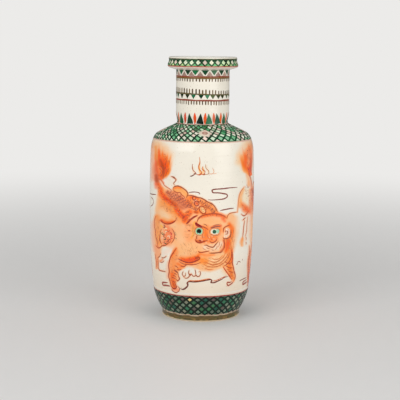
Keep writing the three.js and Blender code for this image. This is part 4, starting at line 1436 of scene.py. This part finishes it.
# Each tail, after its haze: root, tips, tints from the first tip to the last, and seed
TAILS = {
    "tail_haze": ((160.5, 178), ((153, 153), (155.5, 145.5), (161, 142.5), (167.5, 146), (171.5, 153),
        (173.6, 161.5), (172.6, 172)), ("rose", "ochre", "flame", "flame", (238, 106, 32), (240, 118, 40),
        "apricot", "apricot", "peach"), 3),
    "next_tail_haze": ((250, 174), ((252.5, 140), (247, 141.5), (242.5, 146), (239.8, 153), (239.2, 161),
        (241.5, 168)), ("ember", "flame", "pelt", (240, 130, 60), "apricot", "peach"), 4),
}
# How far round each lion is, and the place in the frame from which the next one's front is painted
LION_TURNS = tuple(math.radians(turn) for turn in (0, 109, -124))
NEAR, NEXT, FAR = LION_TURNS
NEXT_FROM = 168

# Small closed marks: middle, half sizes, tilt in degrees, tint and line width in mm
RINGLETS = {
    "left_socket": ((199.2, 231.2), (4.5, 4.4), 0, (150, 104, 66), 0.5),
    "right_socket": ((214.9, 231.9), (5.5, 3.8), 0, (172, 108, 84), 0.5),
    "ringlet": ((194.2, 198.1), (1.7, 1.9), 0, "brick", 0.9),
    "rosette": ((196.8, 203.5), (2.2, 2.4), 0, "brick", 1.0),
    "oval": ((202.5, 209.9), (2.8, 4.2), -35, "rust", 1.1),
}
# Rows of scales on the back: where each starts and ends
SCALE_ROWS = (
    ((166.5, 191), (170.5, 197)), ((169.5, 192), (174.5, 199)), ((172.5, 192.5), (178.5, 202)),
    ((176, 194), (182.5, 204)), ((179.5, 195.5), (186, 206)), ((183, 197.5), (189, 206)),
    ((186.5, 200), (190.5, 206)), ((190, 206.5), (196, 209)), ((199.5, 200.5), (205.5, 206)),
    ((204, 202.5), (211, 209)), ((208, 206), (213, 211.5)),
)
# Places of the pale spots on the muzzle
MUZZLE_LIGHTS = ((201.7, 240.3), (203.6, 237), (209.4, 237.4), (212, 235.8), (213.6, 238.8), (207.8, 239.8),
                 (206, 242.6), (214.4, 244.2), (210.6, 244.4))
# Enamel of the eyes: middle, half sizes, tint and rise in mm
EYES = (
    ((199.1, 231.2), (4.2, 4.1), (152, 208, 170), 0.14),
    ((199, 231.2), (2.9, 2.8), (6, 22, 15), 0.3), ((198.7, 233.2), (0.7, 0.6), (206, 212, 206), 0.36),
    ((214.8, 231.9), (5, 3.2), (230, 226, 202), 0.14), ((217.6, 231.3), (2, 2.4), (168, 216, 182), 0.18),
    ((214.4, 231.7), (2.45, 2.4), (54, 96, 70), 0.3),
)
# Curls of the hind leg's tuft: place and tint
TUFT_CURLS = (
    ((166, 229.2), (250, 226, 170)), ((163.9, 226.4), (96, 44, 26)), ((162.8, 233.2), (48, 70, 40)),
    ((166.2, 232.4), (252, 222, 180)), ((170.6, 234), (206, 44, 36)), ((168.2, 230.6), (206, 96, 56)),
    ((164.6, 236), (150, 40, 30)), ((168.8, 237), (250, 216, 178)), ((164.8, 238.6), (40, 60, 36)),
    ((171.6, 237.4), (214, 70, 48)), ((162.2, 238.6), (246, 190, 160)), ((167, 240.8), (176, 60, 34)),
    ((165.2, 242.6), (54, 78, 44)), ((169.6, 240.6), (160, 84, 40)), ((163.4, 243.4), (238, 120, 84)),
    ((174.6, 232.4), (150, 120, 96)), ((176.1, 234.6), (150, 120, 96)), ((175.6, 238.6), (150, 120, 96)),
)

# Hair drawn over a wash: how many hairs, their tint, their length and their slant from the wash's line
FUR = {
    "tail_fan": (24, (214, 84, 30), 9, 12),
    "tail_heart": (20, (176, 48, 16), 8, 10), "back_band": (60, (186, 62, 24), 5, 38),
    "flank_glow": (44, (238, 140, 80), 7, 40), "mane_left": (26, (240, 146, 84), 7, 70),
    "mane_orange": (22, (196, 70, 24), 6, 30), "back_right": (26, (206, 104, 52), 5, 60),
    "back_orange": (40, (206, 96, 44), 6, 60), "chest_orange": (26, (206, 84, 26), 5, 70),
    "chest_pale": (34, (242, 160, 96), 6, 60), "belly": (30, (230, 134, 66), 6, 12),
    "flank_right": (40, (230, 116, 56), 7, 14), "right_leg": (24, (206, 92, 40), 4, 80),
    "left_leg": (34, (216, 108, 56), 4, 78), "rear_leg": (24, (226, 124, 70), 6, 14),
    "crown_shade": (22, (186, 84, 44), 4, 70), "face_orange": (26, (222, 110, 56), 4, 80),
    "next_tail": (24, (206, 76, 26), 9, 10),
    "next_knee": (16, (214, 100, 60), 4, 40),
}

# Where the lions are painted, and the painted shade below them that darkens the wall towards the bottom, with
# the light that it takes away
PAINTED = (50 * MM, 310 * MM)
LOW_SHADE, LOW_SHADE_LOSS = (120 * MM, 50 * MM), (0.03, 0.07, 0.11)
# Bands under the borders: lowest and highest in mm, tint or setting, strength, soft edge, waver and seed
GILT_BAND = (0.6, 10.4, (100, 78, 36), 0.98, 0.8, 1.4)
BANDS = ((0, 2.1, (226, 200, 156), 0.95, 0.7, 1.6, 24), (10.6, 12.8, (196, 164, 138), 0.85),
         (12.8, 47, "foot_ground"), (311, 336.4, "shoulder_ground"), (435, 447.2, "rim_ground"),
         (430, 432.6, (240, 222, 210), 0.8))
TONE_AND_HIGHLIGHTS_BETWEEN = (1.2 * MM, 10 * MM)
# Patches over the foot's band, strongest near its bottom: the golden ones are painted highlights, the darker
# ones uneven tone; width and reach in mm, how rare they are, their tint and seed
BAND_TONE_AND_HIGHLIGHTS = ((7, 7, 1.3, (168, 130, 62), 21), (5, 14, 1.2, (72, 54, 26), 22), (6, 12, 1.35, (84, 88, 40), 23))


def tint_of(tint):
    return TINTS[tint] if isinstance(tint, str) else tint


def wall_tints(angle, height):
    """The colour under the glaze at each angle and height of the wall: the lions, painted shade towards the
    bottom, the bands.
    """
    palette = Palette(angle, height)
    low, high = PAINTED
    if np.any((height > low) & (height < high)):
        lay_lions(palette)
    # Painted shade: the wall grows darker and warmer from the top of this span down to its foot, where less
    # light falls
    top, deep = LOW_SHADE
    shaded_low = np.clip((top - height) / (top - deep), 0, 1)[:, None]
    palette.tints *= 1 - shaded_low * np.array(LOW_SHADE_LOSS)
    lay_bands(palette)
    return palette.tints


def lay_bands(palette):
    """The grounds of the diaper borders, and the band over the foot's rim with painted golden highlights and
    darker patches on it.
    """
    borders, height = bpy.context.scene.vase_borders, palette.height
    palette.band(*GILT_BAND)
    bottom, top = TONE_AND_HIGHLIGHTS_BETWEEN
    low = np.flatnonzero((height > bottom) & (height < top))
    # Painted highlights: the golden patches brighten the band towards its bottom, and the others darken it
    # unevenly
    for width, reach, share, tint, seed in BAND_TONE_AND_HIGHLIGHTS:
        tone_and_highlight = drift_of(palette.angle * BODY_RADIUS, height * 3, width * MM, seed)
        cover = np.clip(tone_and_highlight[low] * 2.6 - share, 0, 0.85) * np.clip(1.3 - height[low] / (reach * MM), 0, 1)
        palette.lay(low, cover, tint)
    for low, high, tint, *brushed in BANDS:
        if isinstance(tint, str):
            tint = tint_from(getattr(borders, tint))
        palette.band(low, high, tint, *brushed)


def lay_lions(palette):
    """The three lions' washes, laid one over the other and fired."""
    brush = bpy.context.scene.vase_lions
    halo = tint_from(brush.halo_colour)
    for turn, tables, lines in (
        (FAR, (HIND_WASHES, FORE_WASHES), (HIND_LINES, FORE_LINES)),
        (NEXT, (FORE_WASHES,), (FORE_LINES,)),
        (NEAR, (NEXT_WASHES, HIND_WASHES, FORE_WASHES), (NEXT_LINES, HIND_LINES, FORE_LINES)),
    ):
        palette.turn_to(turn, NEXT_FROM if turn == NEXT else 0)
        palette.area(BODY_TINT, 0.8, 2, BODY_EDGE)
        for table in tables:
            for k, (name, (tint, strength, soft, spots)) in enumerate(table.items()):
                palette.wash(tint_of(tint), strength, soft, spots, seed=30 + k)
                if name in TAILS:
                    palette.streaks(*TAILS[name])
        for x, y in MUZZLE_LIGHTS:
            palette.wash(MUZZLE_TINT, 0.85, 0.7, ((x, y, 0.5), (x + 0.6, y + 0.2, 0.4)))
        for tint, strength, soft, spots in FLAME_WASHES.values():
            palette.wash(tint_of(tint), strength, soft, spots)
        for table in lines:
            for _, width, *strokes in table.values():
                for spots in strokes:
                    palette.wash(halo, brush.halo, 1.2, [(x, y, width * 0.45) for x, y in spots], 0.15)
    palette.deepen(brush.depth)


class VASE_OT_lions(bpy.types.Operator):
    """Draw the three lions over their washes: outlines, hair, scales, rosettes and enamelled eyes"""

    bl_idname = "vase.lions"
    bl_label = "Lions"

    SCALES, SCALE_BEND = 5, (-1.0, -0.2, 0.7, 1.6, 2.4)
    SCALE_TINTS = ((158, 74, 58), (176, 70, 40), (140, 62, 54))
    CURL = ((-1, 0.8), (-0.9, -0.4), (0, -1), (0.9, -0.4), (0.6, 0.5))
    CURL_SPIN, TUFT_EDGE = 1.9, 174

    def execute(self, context):
        outlines = Enamel(context.scene.vase_lions.line_rise, 5)
        hairs, eyes = Enamel(0.07 * MM, 8), Enamel(0.3 * MM, 9)
        for turn in LION_TURNS:
            hind, washes, own = HIND_LINES, HIND_WASHES, turn
            if turn == NEXT:
                hind, washes, own = NEXT_LINES, NEXT_WASHES, 0
            draw_lines(outlines, hind, own)
            draw_lines(outlines, FORE_LINES, turn)
            for table, side in ((washes, own), (FORE_WASHES, turn)):
                for name, (_, _, _, spots) in table.items():
                    if name in FUR:
                        comb_hair(hairs, spots, side, *FUR[name])
            self.draw_marks(outlines, turn)
            self.set_eyes(eyes, turn)
        hairs.piece("lion_hair", iron_red())
        outlines.piece("lion_outlines", iron_red())
        eyes.piece("lion_eyes", raised_enamel())
        return {"FINISHED"}

    def draw_marks(self, lines, turn):
        """The scales on the back, the rosettes, and the curled tuft of the hind leg."""
        easel, chance = vase_easel(), lines.chance
        for middle, halves, tilt, tint, width in RINGLETS.values():
            spots = oval_spots(middle, halves, tilt, 14)
            half = width / 2 * bpy.context.scene.vase_lions.spread * MM
            lines.stroke(*easel.on_wall(spots + spots[:1], turn), half, tint_of(tint), (0.1, 0.1))
        for (x0, y0), (x1, y1) in SCALE_ROWS:
            for k in range(self.SCALES):
                share = k / (self.SCALES - 1)
                x, y = x0 + (x1 - x0) * share, y0 + (y1 - y0) * share
                arc = [(x + 1.5 * math.cos(a), y + 1.25 * math.sin(a)) for a in self.SCALE_BEND]
                half = chance.uniform(0.4, 0.6) * MM
                lines.stroke(*easel.on_wall(arc, turn), half, chance.choice(self.SCALE_TINTS), (0.2, 0.3))
        if turn == NEXT:
            return
        for k, ((x, y), tint) in enumerate(TUFT_CURLS):
            size = 0.75 if x > self.TUFT_EDGE else 1.15
            c, s = size * math.cos(k * self.CURL_SPIN), size * math.sin(k * self.CURL_SPIN)
            curl = [(x + u * c - v * s, y + u * s + v * c) for u, v in self.CURL]
            lines.stroke(*easel.on_wall(curl, turn), 0.72 * size * MM, tint, (0.15, 0.3))

    def set_eyes(self, eyes, turn):
        """Two eyes of raised green and black enamel, with a pale glint."""
        for middle, halves, tint, rise in EYES:
            places = vase_easel().on_wall(oval_spots(middle, halves, 0, 18)[::-1], turn)
            eyes.drop(np.stack(places, axis=1), tint, rise * MM)


def oval_spots(middle, halves, tilt, count):
    """Places of the frame round an oval."""
    lean = math.radians(tilt)
    spots = []
    for k in range(count):
        a = FULL_TURN * k / count
        x, y = halves[0] * math.cos(a), halves[1] * math.sin(a)
        spots.append((middle[0] + x * math.cos(lean) - y * math.sin(lean),
                      middle[1] + x * math.sin(lean) + y * math.cos(lean)))
    return spots


def draw_lines(enamel, table, turn):
    spread = bpy.context.scene.vase_lions.spread
    for tint, width, *lines in table.values():
        for spots in lines:
            enamel.stroke(*vase_easel().on_wall(spots, turn), width / 2 * spread * MM, tint_of(tint))


def comb_hair(enamel, spots, turn, count, tint, length, slant):
    """Fine hairs scattered along a wash, each leaning off the wash's own line."""
    chance = enamel.chance
    for _ in range(round(count * bpy.context.scene.vase_lions.hair)):
        t = chance.uniform(0, len(spots) - 1.001)
        i, u = int(t), t % 1
        (x0, y0, w0), (x1, y1, w1) = spots[i], spots[i + 1]
        way = math.atan2(y1 - y0, x1 - x0)
        lean = way + math.radians(slant) * chance.choice((-1, 1)) + chance.uniform(-0.2, 0.2)
        half = w0 + (w1 - w0) * u
        off = chance.uniform(-0.95, 0.95) * half
        x = x0 + (x1 - x0) * u - off * math.sin(way)
        y = y0 + (y1 - y0) * u + off * math.cos(way)
        reach = min(length, half * 2.4) * chance.uniform(0.35, 0.7) / 2
        dx, dy = reach * math.cos(lean), reach * math.sin(lean)
        curl = chance.uniform(-0.25, 0.25)
        hair = ((x - dx, y - dy), (x - dy * curl, y + dx * curl), (x + dx, y + dy))
        shade = chance.uniform(0.8, 1.0)
        enamel.stroke(*vase_easel().on_wall(hair, turn), chance.uniform(0.22, 0.42) * MM,
                      [c * shade for c in tint], (0.5, 0.6))


class VASE_OT_flames(bpy.types.Operator):
    """Draw the flames that rise over each lion"""

    bl_idname = "vase.flames"
    bl_label = "Flames"

    def execute(self, context):
        flames = Enamel(0.1 * MM, 6)
        for turn in LION_TURNS:
            draw_lines(flames, FLAME_LINES, turn)
        flames.piece("flames", iron_red())
        return {"FINISHED"}


class VASE_OT_clouds(bpy.types.Operator):
    """Draw the cloud scrolls and the ground line round the lions"""

    bl_idname = "vase.clouds"
    bl_label = "Clouds and ground"

    def execute(self, context):
        clouds = Enamel(0.11 * MM, 7)
        repeated = {name: mark for name, mark in CLOUD_LINES.items() if name not in NEAR_CLOUDS}
        for turn in LION_TURNS:
            draw_lines(clouds, CLOUD_LINES if turn == NEAR else repeated, turn)
        clouds.piece("clouds", iron_red())
        return {"FINISHED"}


# The diaper bands and the borders, at heights in mm up the wall


class Lattice:
    """Crossing ribs round the wall, with a filled cell in each diamond."""

    CORNER_CUT, LEAST_CELL = 0.14, 0.15

    def __init__(self, levels, count, phase, shake, seed, drawn=lambda angle, row: angle):
        self.count, self.nodes = count, []
        self.chance = random.Random(seed)
        pitch = FULL_TURN / count
        reach = vase_wall().radius_along(levels)
        self.shares = (reach / reach.max()) ** 0.6
        for k, (level, radius) in enumerate(zip(levels, reach)):
            row = []
            for i in range(count):
                angle = drawn(phase + (i + (0.5 if k % 2 else 0)) * pitch, k)
                still = k in (0, len(levels) - 1)
                row.append((angle + self.chance.uniform(-shake, shake) / radius,
                            level + (0 if still else self.chance.uniform(-shake, shake))))
            self.nodes.append(row)

    def node(self, k, i):
        """The i-th crossing of row k, with its angle carried on past a full turn."""
        angle, length = self.nodes[k][i % self.count]
        return angle + FULL_TURN * (i // self.count), length

    def ribs(self, enamel, half, tints):
        """One brush stroke for each rib, from the bottom edge to the top, leaning each way."""
        for lean in (0, 1):
            for i in range(self.count):
                spots, j = [], i
                for k in range(len(self.nodes)):
                    spots.append(self.node(k, j))
                    j += k % 2 - 1 + lean
                angle, length = zip(*spots)
                enamel.stroke(angle, length, half * self.shares * self.chance.uniform(0.85, 1.12),
                              self.chance.choice(tints), (0, 0))

    def cells(self, enamel, inset, choose):
        """A domed fill in each diamond. choose gives a cell's colour from its row and number."""
        last = len(self.nodes) - 1
        for k in (*range(1, last), 0, last):
            for i in range(self.count):
                below = [self.node(k - 1, i + k % 2)] if k else []
                above = [self.node(k + 1, i + k % 2)] if k < last else []
                corners = [self.node(k, i), *below, self.node(k, i + 1), *above]
                if not below:
                    corners = corners[1:] + corners[:1]
                self._fill(enamel, corners, inset * self.shares[k], choose(k, i))

    def _fill(self, enamel, corners, inset, tint):
        corners = np.array(corners)
        middle = corners.mean(axis=0)
        radius = vase_wall().radius_along(middle[1])
        flat = (corners - middle) * (radius, 1)
        onward = np.roll(flat, -1, axis=0)
        area = abs(np.sum(flat[:, 0] * onward[:, 1] - flat[:, 1] * onward[:, 0]))
        flat = flat * max(self.LEAST_CELL, 1 - inset * np.hypot(*(onward - flat).T).sum() / area)
        spots = []
        for i in range(len(flat)):
            before, here, after = flat[i - 1], flat[i], flat[(i + 1) % len(flat)]
            spots += [here + (other - here) * self.CORNER_CUT for other in (before, after)]
        outline = np.array(spots) / (radius, 1) + middle
        if np.cross(outline[1] - outline[0], outline[2] - outline[1]) < 0:
            outline = outline[::-1]
        enamel.drop(outline, tint, enamel.height, 2, 5)


FOOT_ROWS = (12.8, 18.2, 24.2, 30.3, 36.2, 41.8, 46.6)
SHOULDER_LOW, SHOULDER_HIGH = 311.2, 336
RIM_ROWS = (435.3, 441.1, 447)
FOOT_CELLS = ((124, 141, 120), (106, 121, 105), (42, 97, 78), (56, 115, 84), (111, 99, 89),
              (95, 84, 80), (139, 141, 120), (74, 126, 84))
SHOULDER_CELLS = ((240, 240, 220), (232, 208, 194), (214, 236, 206), (150, 204, 162), (236, 234, 214),
                  (124, 192, 142), (90, 168, 114), (182, 214, 178), (218, 190, 174), (58, 136, 88))
RIM_CELLS = ((224, 244, 205), (238, 238, 211), (202, 229, 180), (233, 249, 213), (251, 233, 213))
DARK_RIBS = ((8, 22, 12), (12, 32, 18), (8, 40, 24), (18, 26, 14))
GREEN_RIBS = ((8, 44, 24), (14, 70, 40), (34, 98, 60), (8, 32, 18), (22, 80, 48))
YELLOW_CELL, YELLOW_AT = (222, 196, 130), -13.1

# Rings of colour: lowest and highest in mm, the tint, and how far each dips to the right in mm
RINGS = {
    "foot_red": (46.8, 49, (150, 36, 34), 0), "shoulder_low": (309, 311.2, (216, 180, 162), 0),
    "shoulder_high": (336.2, 337.1, (164, 110, 88), 0), "neck_red": (375.9, 378.9, (146, 66, 42), 0.6),
    "neck_olive": (386.4, 389.2, (98, 84, 42), 1.2), "neck_pink": (416, 418.6, (144, 70, 46), 0),
    "neck_brown": (413.4, 416.4, (120, 88, 34), 0), "rim_red": (433.4, 435.2, (190, 84, 66), 0),
    "rim_brown": (446.2, 447.6, (88, 70, 44), 0),
}
# Seen marks of each border, in degrees round from the front, each with its tint
LAPPETS = ((-55.5, 3, (20, 92, 52)), (-28.8, -0.6, (12, 62, 36)), (-5.7, 2, (0, 28, 12)),
           (15.1, -2, (64, 124, 90)), (37.4, -6, (56, 98, 76)), (58, -6, (54, 104, 70)))
SPEARS = ((-67, 3, (226, 110, 60)), (-43, 3.4, (220, 70, 28)), (-16.9, 0.2, (236, 84, 32)),
          (5.4, 0.7, (240, 92, 36)), (27, -2.6, (236, 116, 78)), (45.6, -2.8, (240, 106, 44)))
HIGH_TRIANGLES = ((-53.3, 0, (28, 100, 62)), (-33.6, 0, (18, 58, 32)), (-16.3, 0, (26, 118, 68)),
                  (5, 0, (10, 74, 40)), (25, 0, (70, 118, 82)), (43.8, 0, (26, 70, 42)))
LOW_TRIANGLES = ((-66, 0, (40, 90, 52)), (-50, 0, (26, 44, 14)), (-34.4, 0, (34, 44, 14)),
                 (-20, 0, (26, 104, 66)), (-3.4, 0, (4, 52, 26)), (10, 0, (62, 128, 92)),
                 (22.2, 0, (84, 98, 56)), (35.6, 0, (56, 64, 32)), (47.2, 0, (48, 54, 24)),
                 (63, 0, (84, 104, 70)))
# Each comb: how many teeth, where they spring from, where they end, their half width and tilt in mm
COMBS = {"high": (52, 414.2, 409.1, 1.2, 0), "middle": (50, 388.2, 395.8, 1.3, 2.6),
         "low": (58, 376.6, 369.9, 1.1, 0.5)}
COMB_TINTS = ((84, 58, 16), (98, 72, 24), (74, 50, 14), (108, 80, 28))


def picked(tints, seed):
    """A chooser of cell colours, each a little lighter or darker than the last."""
    chance = random.Random(seed)

    def choose(row, number):
        shade = chance.uniform(0.9, 1.07)
        return [min(255, c * shade) for c in chance.choice(tints)]

    return choose


def carried_round(marks, count, seed):
    """The marks that show, carried on at even steps round the back with tints of the same kind."""
    chance = random.Random(seed)
    first, last = marks[0][0], marks[-1][0]
    spare = count - len(marks)
    step = (360 + first - last) / (spare + 1)
    hidden = [(last + step * (k + 1) + chance.uniform(-0.08, 0.08) * step, 0, chance.choice(marks)[2])
              for k in range(spare)]
    return [(math.radians(turn), math.radians(lean), tint) for turn, lean, tint in (*marks, *hidden)]


class VASE_OT_foot_diaper(bpy.types.Operator):
    """Enamel the diaper round the foot: black-green ribs with a domed cell in each diamond"""

    bl_idname = "vase.foot_diaper"
    bl_label = "Foot diaper"

    def execute(self, context):
        borders = context.scene.vase_borders
        levels = vase_wall().at_height(np.array(FOOT_ROWS) * MM)
        lattice = Lattice(levels, borders.foot_count, math.radians(YELLOW_AT), 0.5 * MM, 41)
        fill = picked(FOOT_CELLS, 42)
        cells, ribs = Enamel(0.2 * MM, 43), Enamel(0.3 * MM, 44)
        last = len(levels) - 2

        def choose(row, number):
            tint = fill(row, number)
            return YELLOW_CELL if (row, number) == (last, borders.foot_count - 1) else tint

        lattice.cells(cells, borders.foot_rib * 0.85, choose)
        lattice.ribs(ribs, borders.foot_rib, DARK_RIBS)
        cells.piece("foot_cells", raised_enamel())
        ribs.piece("foot_ribs", raised_enamel())
        return {"FINISHED"}


class VASE_OT_shoulder_diaper(bpy.types.Operator):
    """Enamel the diaper on the shoulder, with four small panels left in it"""

    bl_idname = "vase.shoulder_diaper"
    bl_label = "Shoulder diaper"

    ROWS = 8
    PANEL_AT = (204.9, 133.3)
    PANELS, PANEL_POINTS = 4, 40
    LEAN, LEAN_FROM, SWELL, SWELL_FROM = 0.25, 0.2, 0.14, 0.5
    # Each layer of a panel: half sizes in mm, lobes and their depth, tint, rise in mm, rings and crown
    LAYERS = ((12.6, 12.4, 4, 0.16, (226, 210, 190), 0.36, 4, 8),
              (7.4, 7, 6, 0.14, (176, 128, 112), 0.46, 3, 5),
              (4.4, 3.8, 6, 0.15, (206, 166, 148), 0.54, 3, 4))

    def execute(self, context):
        low, high = vase_wall().at_height(np.array([SHOULDER_LOW, SHOULDER_HIGH]) * MM)
        borders = context.scene.vase_borders
        pitch = FULL_TURN / borders.shoulder_count

        def drawn(angle, row):
            """The hand's own unevenness: wider diamonds at the front, ribs that lean over at the left."""
            lean = self.LEAN * row * pitch * (1 - math.sin(angle + self.LEAN_FROM))
            return angle + self.SWELL * math.sin(2 * (angle - self.SWELL_FROM)) - lean

        levels = np.linspace(low, high, self.ROWS)
        lattice = Lattice(levels, borders.shoulder_count, 0.04, 0.7 * MM, 51, drawn)
        cells, ribs = Enamel(0.18 * MM, 52), Enamel(0.26 * MM, 53)
        pale, mixed = picked(SHOULDER_CELLS[:6], 54), picked(SHOULDER_CELLS, 56)
        lattice.cells(cells, borders.shoulder_rib * 0.8,
                      lambda row, number: (pale if row < 3 else mixed)(row, number))
        lattice.ribs(ribs, borders.shoulder_rib, GREEN_RIBS)
        panels = Enamel(0.5 * MM, 55)
        angle, length = vase_easel().on_wall([self.PANEL_AT])
        for k in range(self.PANELS):
            self.draw_panel(panels, angle[0] + FULL_TURN * k / self.PANELS, length[0])
        cells.piece("shoulder_cells", raised_enamel())
        ribs.piece("shoulder_ribs", raised_enamel())
        panels.piece("shoulder_panels", raised_enamel())
        return {"FINISHED"}

    def draw_panel(self, panels, turn, length):
        """A lobed pale panel with a rusty oval flower in it."""
        radius = float(panels.wall.radius_along(length))
        for wide, tall, lobes, depth, tint, rise, rings, crown in self.LAYERS:
            spots = []
            for k in range(self.PANEL_POINTS):
                a = FULL_TURN * k / self.PANEL_POINTS
                reach = MM * (1 - depth * abs(math.sin(lobes * a / 2)))
                across = wide * reach * math.cos(a) / radius
                spots.append((turn + across, length + tall * reach * math.sin(a)))
            panels.drop(spots, tint, rise * MM, rings, crown)


class VASE_OT_rim_diaper(bpy.types.Operator):
    """Enamel the narrow diaper round the mouth"""

    bl_idname = "vase.rim_diaper"
    bl_label = "Rim diaper"

    DOTS = ((222, 170, 156), (206, 150, 140), (232, 190, 170))
    DOT_HALVES = (1.1 / 60, 1.2 * MM)

    def execute(self, context):
        borders = context.scene.vase_borders
        levels = vase_wall().at_height(np.array(RIM_ROWS) * MM)
        lattice = Lattice(levels, borders.rim_count, 0.057, 0.3 * MM, 61)
        pale = picked(RIM_CELLS, 62)
        low, high = picked(((190, 226, 150), (96, 184, 116)), 63), picked(((20, 64, 34), (30, 92, 54)), 64)
        cells, ribs = Enamel(0.16 * MM, 65), Enamel(0.24 * MM, 66)
        lattice.cells(cells, borders.rim_rib * 0.7, lambda row, number: (low, pale, high)[row](row, number))
        lattice.ribs(ribs, borders.rim_rib, GREEN_RIBS)
        for k in range(borders.rim_count):
            (left, level), (right, _) = lattice.node(1, k), lattice.node(1, k + 1)
            dot = oval_spots(((left + right) / 2, level), self.DOT_HALVES, 0, 10)
            cells.drop(dot, cells.chance.choice(self.DOTS), 0.26 * MM, 2)
        cells.piece("rim_cells", raised_enamel())
        ribs.piece("rim_ribs", raised_enamel())
        return {"FINISHED"}


def spike(enamel, turn, low, high, halves, tint, lean=0):
    """A straight-sided mark from one height to another, in mm, with its half widths on the way."""
    length = enamel.wall.at_height(np.array([low, high]) * MM)
    enamel.stroke((turn, turn + lean), length, np.array(halves) * MM, tint, (0, 0), 0.9 * MM, 0.04, False)


class VASE_OT_lappets(bpy.types.Operator):
    """Enamel the green lappets and the red spearheads that stand at the foot of the neck"""

    bl_idname = "vase.lappets"
    bl_label = "Lappets"

    # Of each mark: its foot and its tip, and its half widths on the way, in mm
    COUNT = 17
    LAPPET = (337.6, 355.4, (6.6, 5.8, 4.3, 2.4, 0.4))
    SPEAR = (337.4, 356.6, (0.9, 2, 2.9, 2.8, 2, 0.6))

    def execute(self, context):
        lappets = Enamel(0.24 * MM, 71)
        for marks, seed, mark in ((LAPPETS, 72, self.LAPPET), (SPEARS, 73, self.SPEAR)):
            for turn, lean, tint in carried_round(marks, self.COUNT, seed):
                spike(lappets, turn, *mark, tint, lean)
        lappets.piece("lappets", raised_enamel())
        return {"FINISHED"}


class VASE_OT_neck_borders(bpy.types.Operator):
    """Enamel the two rows of triangles and the three combs round the neck"""

    bl_idname = "vase.neck_borders"
    bl_label = "Neck borders"

    # Of each triangle: its foot and its tip, and its half widths on the way, in mm
    HIGH_COUNT, LOW_COUNT = 18, 25
    HIGH, BETWEEN = (428.3, 419.7, (7.2, 5.7, 4, 2.1, 0.3)), (418.7, 425.8, (6.2, 4.8, 3.3, 1.7, 0.3))
    LOW_FOOT, LOW_TIP, LOW_TILT, LOW_HALVES = 387, 380, 1.2, (4.9, 3.9, 2.7, 1.4, 0.3)
    MAUVE = ((178, 146, 132), (164, 132, 120), (190, 156, 140))

    def execute(self, context):
        triangles, combs = Enamel(0.22 * MM, 81), Enamel(0.14 * MM, 82)
        high = carried_round(HIGH_TRIANGLES, self.HIGH_COUNT, 83)
        for (turn, _, tint), (after, *_) in zip(high, high[1:] + [(high[0][0] + FULL_TURN,)]):
            spike(triangles, turn, *self.HIGH, tint)
            spike(triangles, (turn + after) / 2, *self.BETWEEN, triangles.chance.choice(self.MAUVE))
        for turn, _, tint in carried_round(LOW_TRIANGLES, self.LOW_COUNT, 84):
            foot = self.LOW_FOOT - self.LOW_TILT * math.sin(turn)
            spike(triangles, turn, foot, self.LOW_TIP, self.LOW_HALVES, tint)
        for comb in COMBS.values():
            self.cut_comb(combs, *comb)
        triangles.piece("neck_triangles", raised_enamel())
        combs.piece("neck_combs", iron_red())
        return {"FINISHED"}

    def cut_comb(self, combs, count, root, tip, half, tilt):
        """Short teeth side by side, none quite like the next."""
        chance = combs.chance
        for k in range(count):
            turn = FULL_TURN * (k + chance.uniform(-0.08, 0.08)) / count
            drop = tilt * math.sin(turn)
            reach = tip + (tip - root) * chance.uniform(-0.08, 0.08) - drop
            wide = half * chance.uniform(0.85, 1.15)
            halves = (wide, wide, wide, wide * 0.8)
            spike(combs, turn, root - drop / 2, reach, halves, chance.choice(COMB_TINTS))


class VASE_OT_rings(bpy.types.Operator):
    """Paint the level lines that part one border from the next"""

    bl_idname = "vase.rings"
    bl_label = "Rings"

    def execute(self, context):
        rings = Enamel(0.16 * MM, 91)
        for low, high, tint, tilt in RINGS.values():
            bottom, top = vase_wall().at_height(np.array([low, high]) * MM)
            rings.ring((bottom + top) / 2, (top - bottom) / 2, tint, tilt * MM)
        rings.piece("painted_rings", iron_red())
        return {"FINISHED"}


class VASE_PT_panel(bpy.types.Panel):
    """The vase's pieces, in the order that they are made"""

    bl_idname = "VASE_PT_panel"
    bl_label = "Enamelled vase"
    bl_space_type = "VIEW_3D"
    bl_region_type = "UI"
    bl_category = "Vase"

    def draw(self, context):
        for operator in OPERATORS:
            self.layout.operator(operator.bl_idname)
        for name in SETTINGS:
            group = getattr(context.scene, name)
            box = self.layout.box()
            for prop in group.bl_rna.properties:
                if prop.identifier not in ("rna_type", "name"):
                    box.prop(group, prop.identifier)


SETTINGS = {"vase_wall": VaseWallSettings, "vase_stage": VaseStageSettings,
            "vase_lions": VaseLionSettings, "vase_borders": VaseBorderSettings}
OPERATORS = (VASE_OT_stage, VASE_OT_sections, VASE_OT_slip_joints, VASE_OT_lions, VASE_OT_flames,
             VASE_OT_clouds, VASE_OT_foot_diaper, VASE_OT_shoulder_diaper, VASE_OT_rim_diaper,
             VASE_OT_lappets, VASE_OT_neck_borders, VASE_OT_rings)


def register():
    for cls in (*SETTINGS.values(), *OPERATORS, VASE_PT_panel):
        bpy.utils.register_class(cls)
    for name, cls in SETTINGS.items():
        setattr(bpy.types.Scene, name, PointerProperty(type=cls))


def unregister():
    for name in SETTINGS:
        delattr(bpy.types.Scene, name)
    for cls in reversed((*SETTINGS.values(), *OPERATORS, VASE_PT_panel)):
        bpy.utils.unregister_class(cls)


def main():
    """Make every piece."""
    register()
    for operator in OPERATORS:
        group, call = operator.bl_idname.split(".")
        getattr(getattr(bpy.ops, group), call)()


if __name__ == "__main__":
    main()
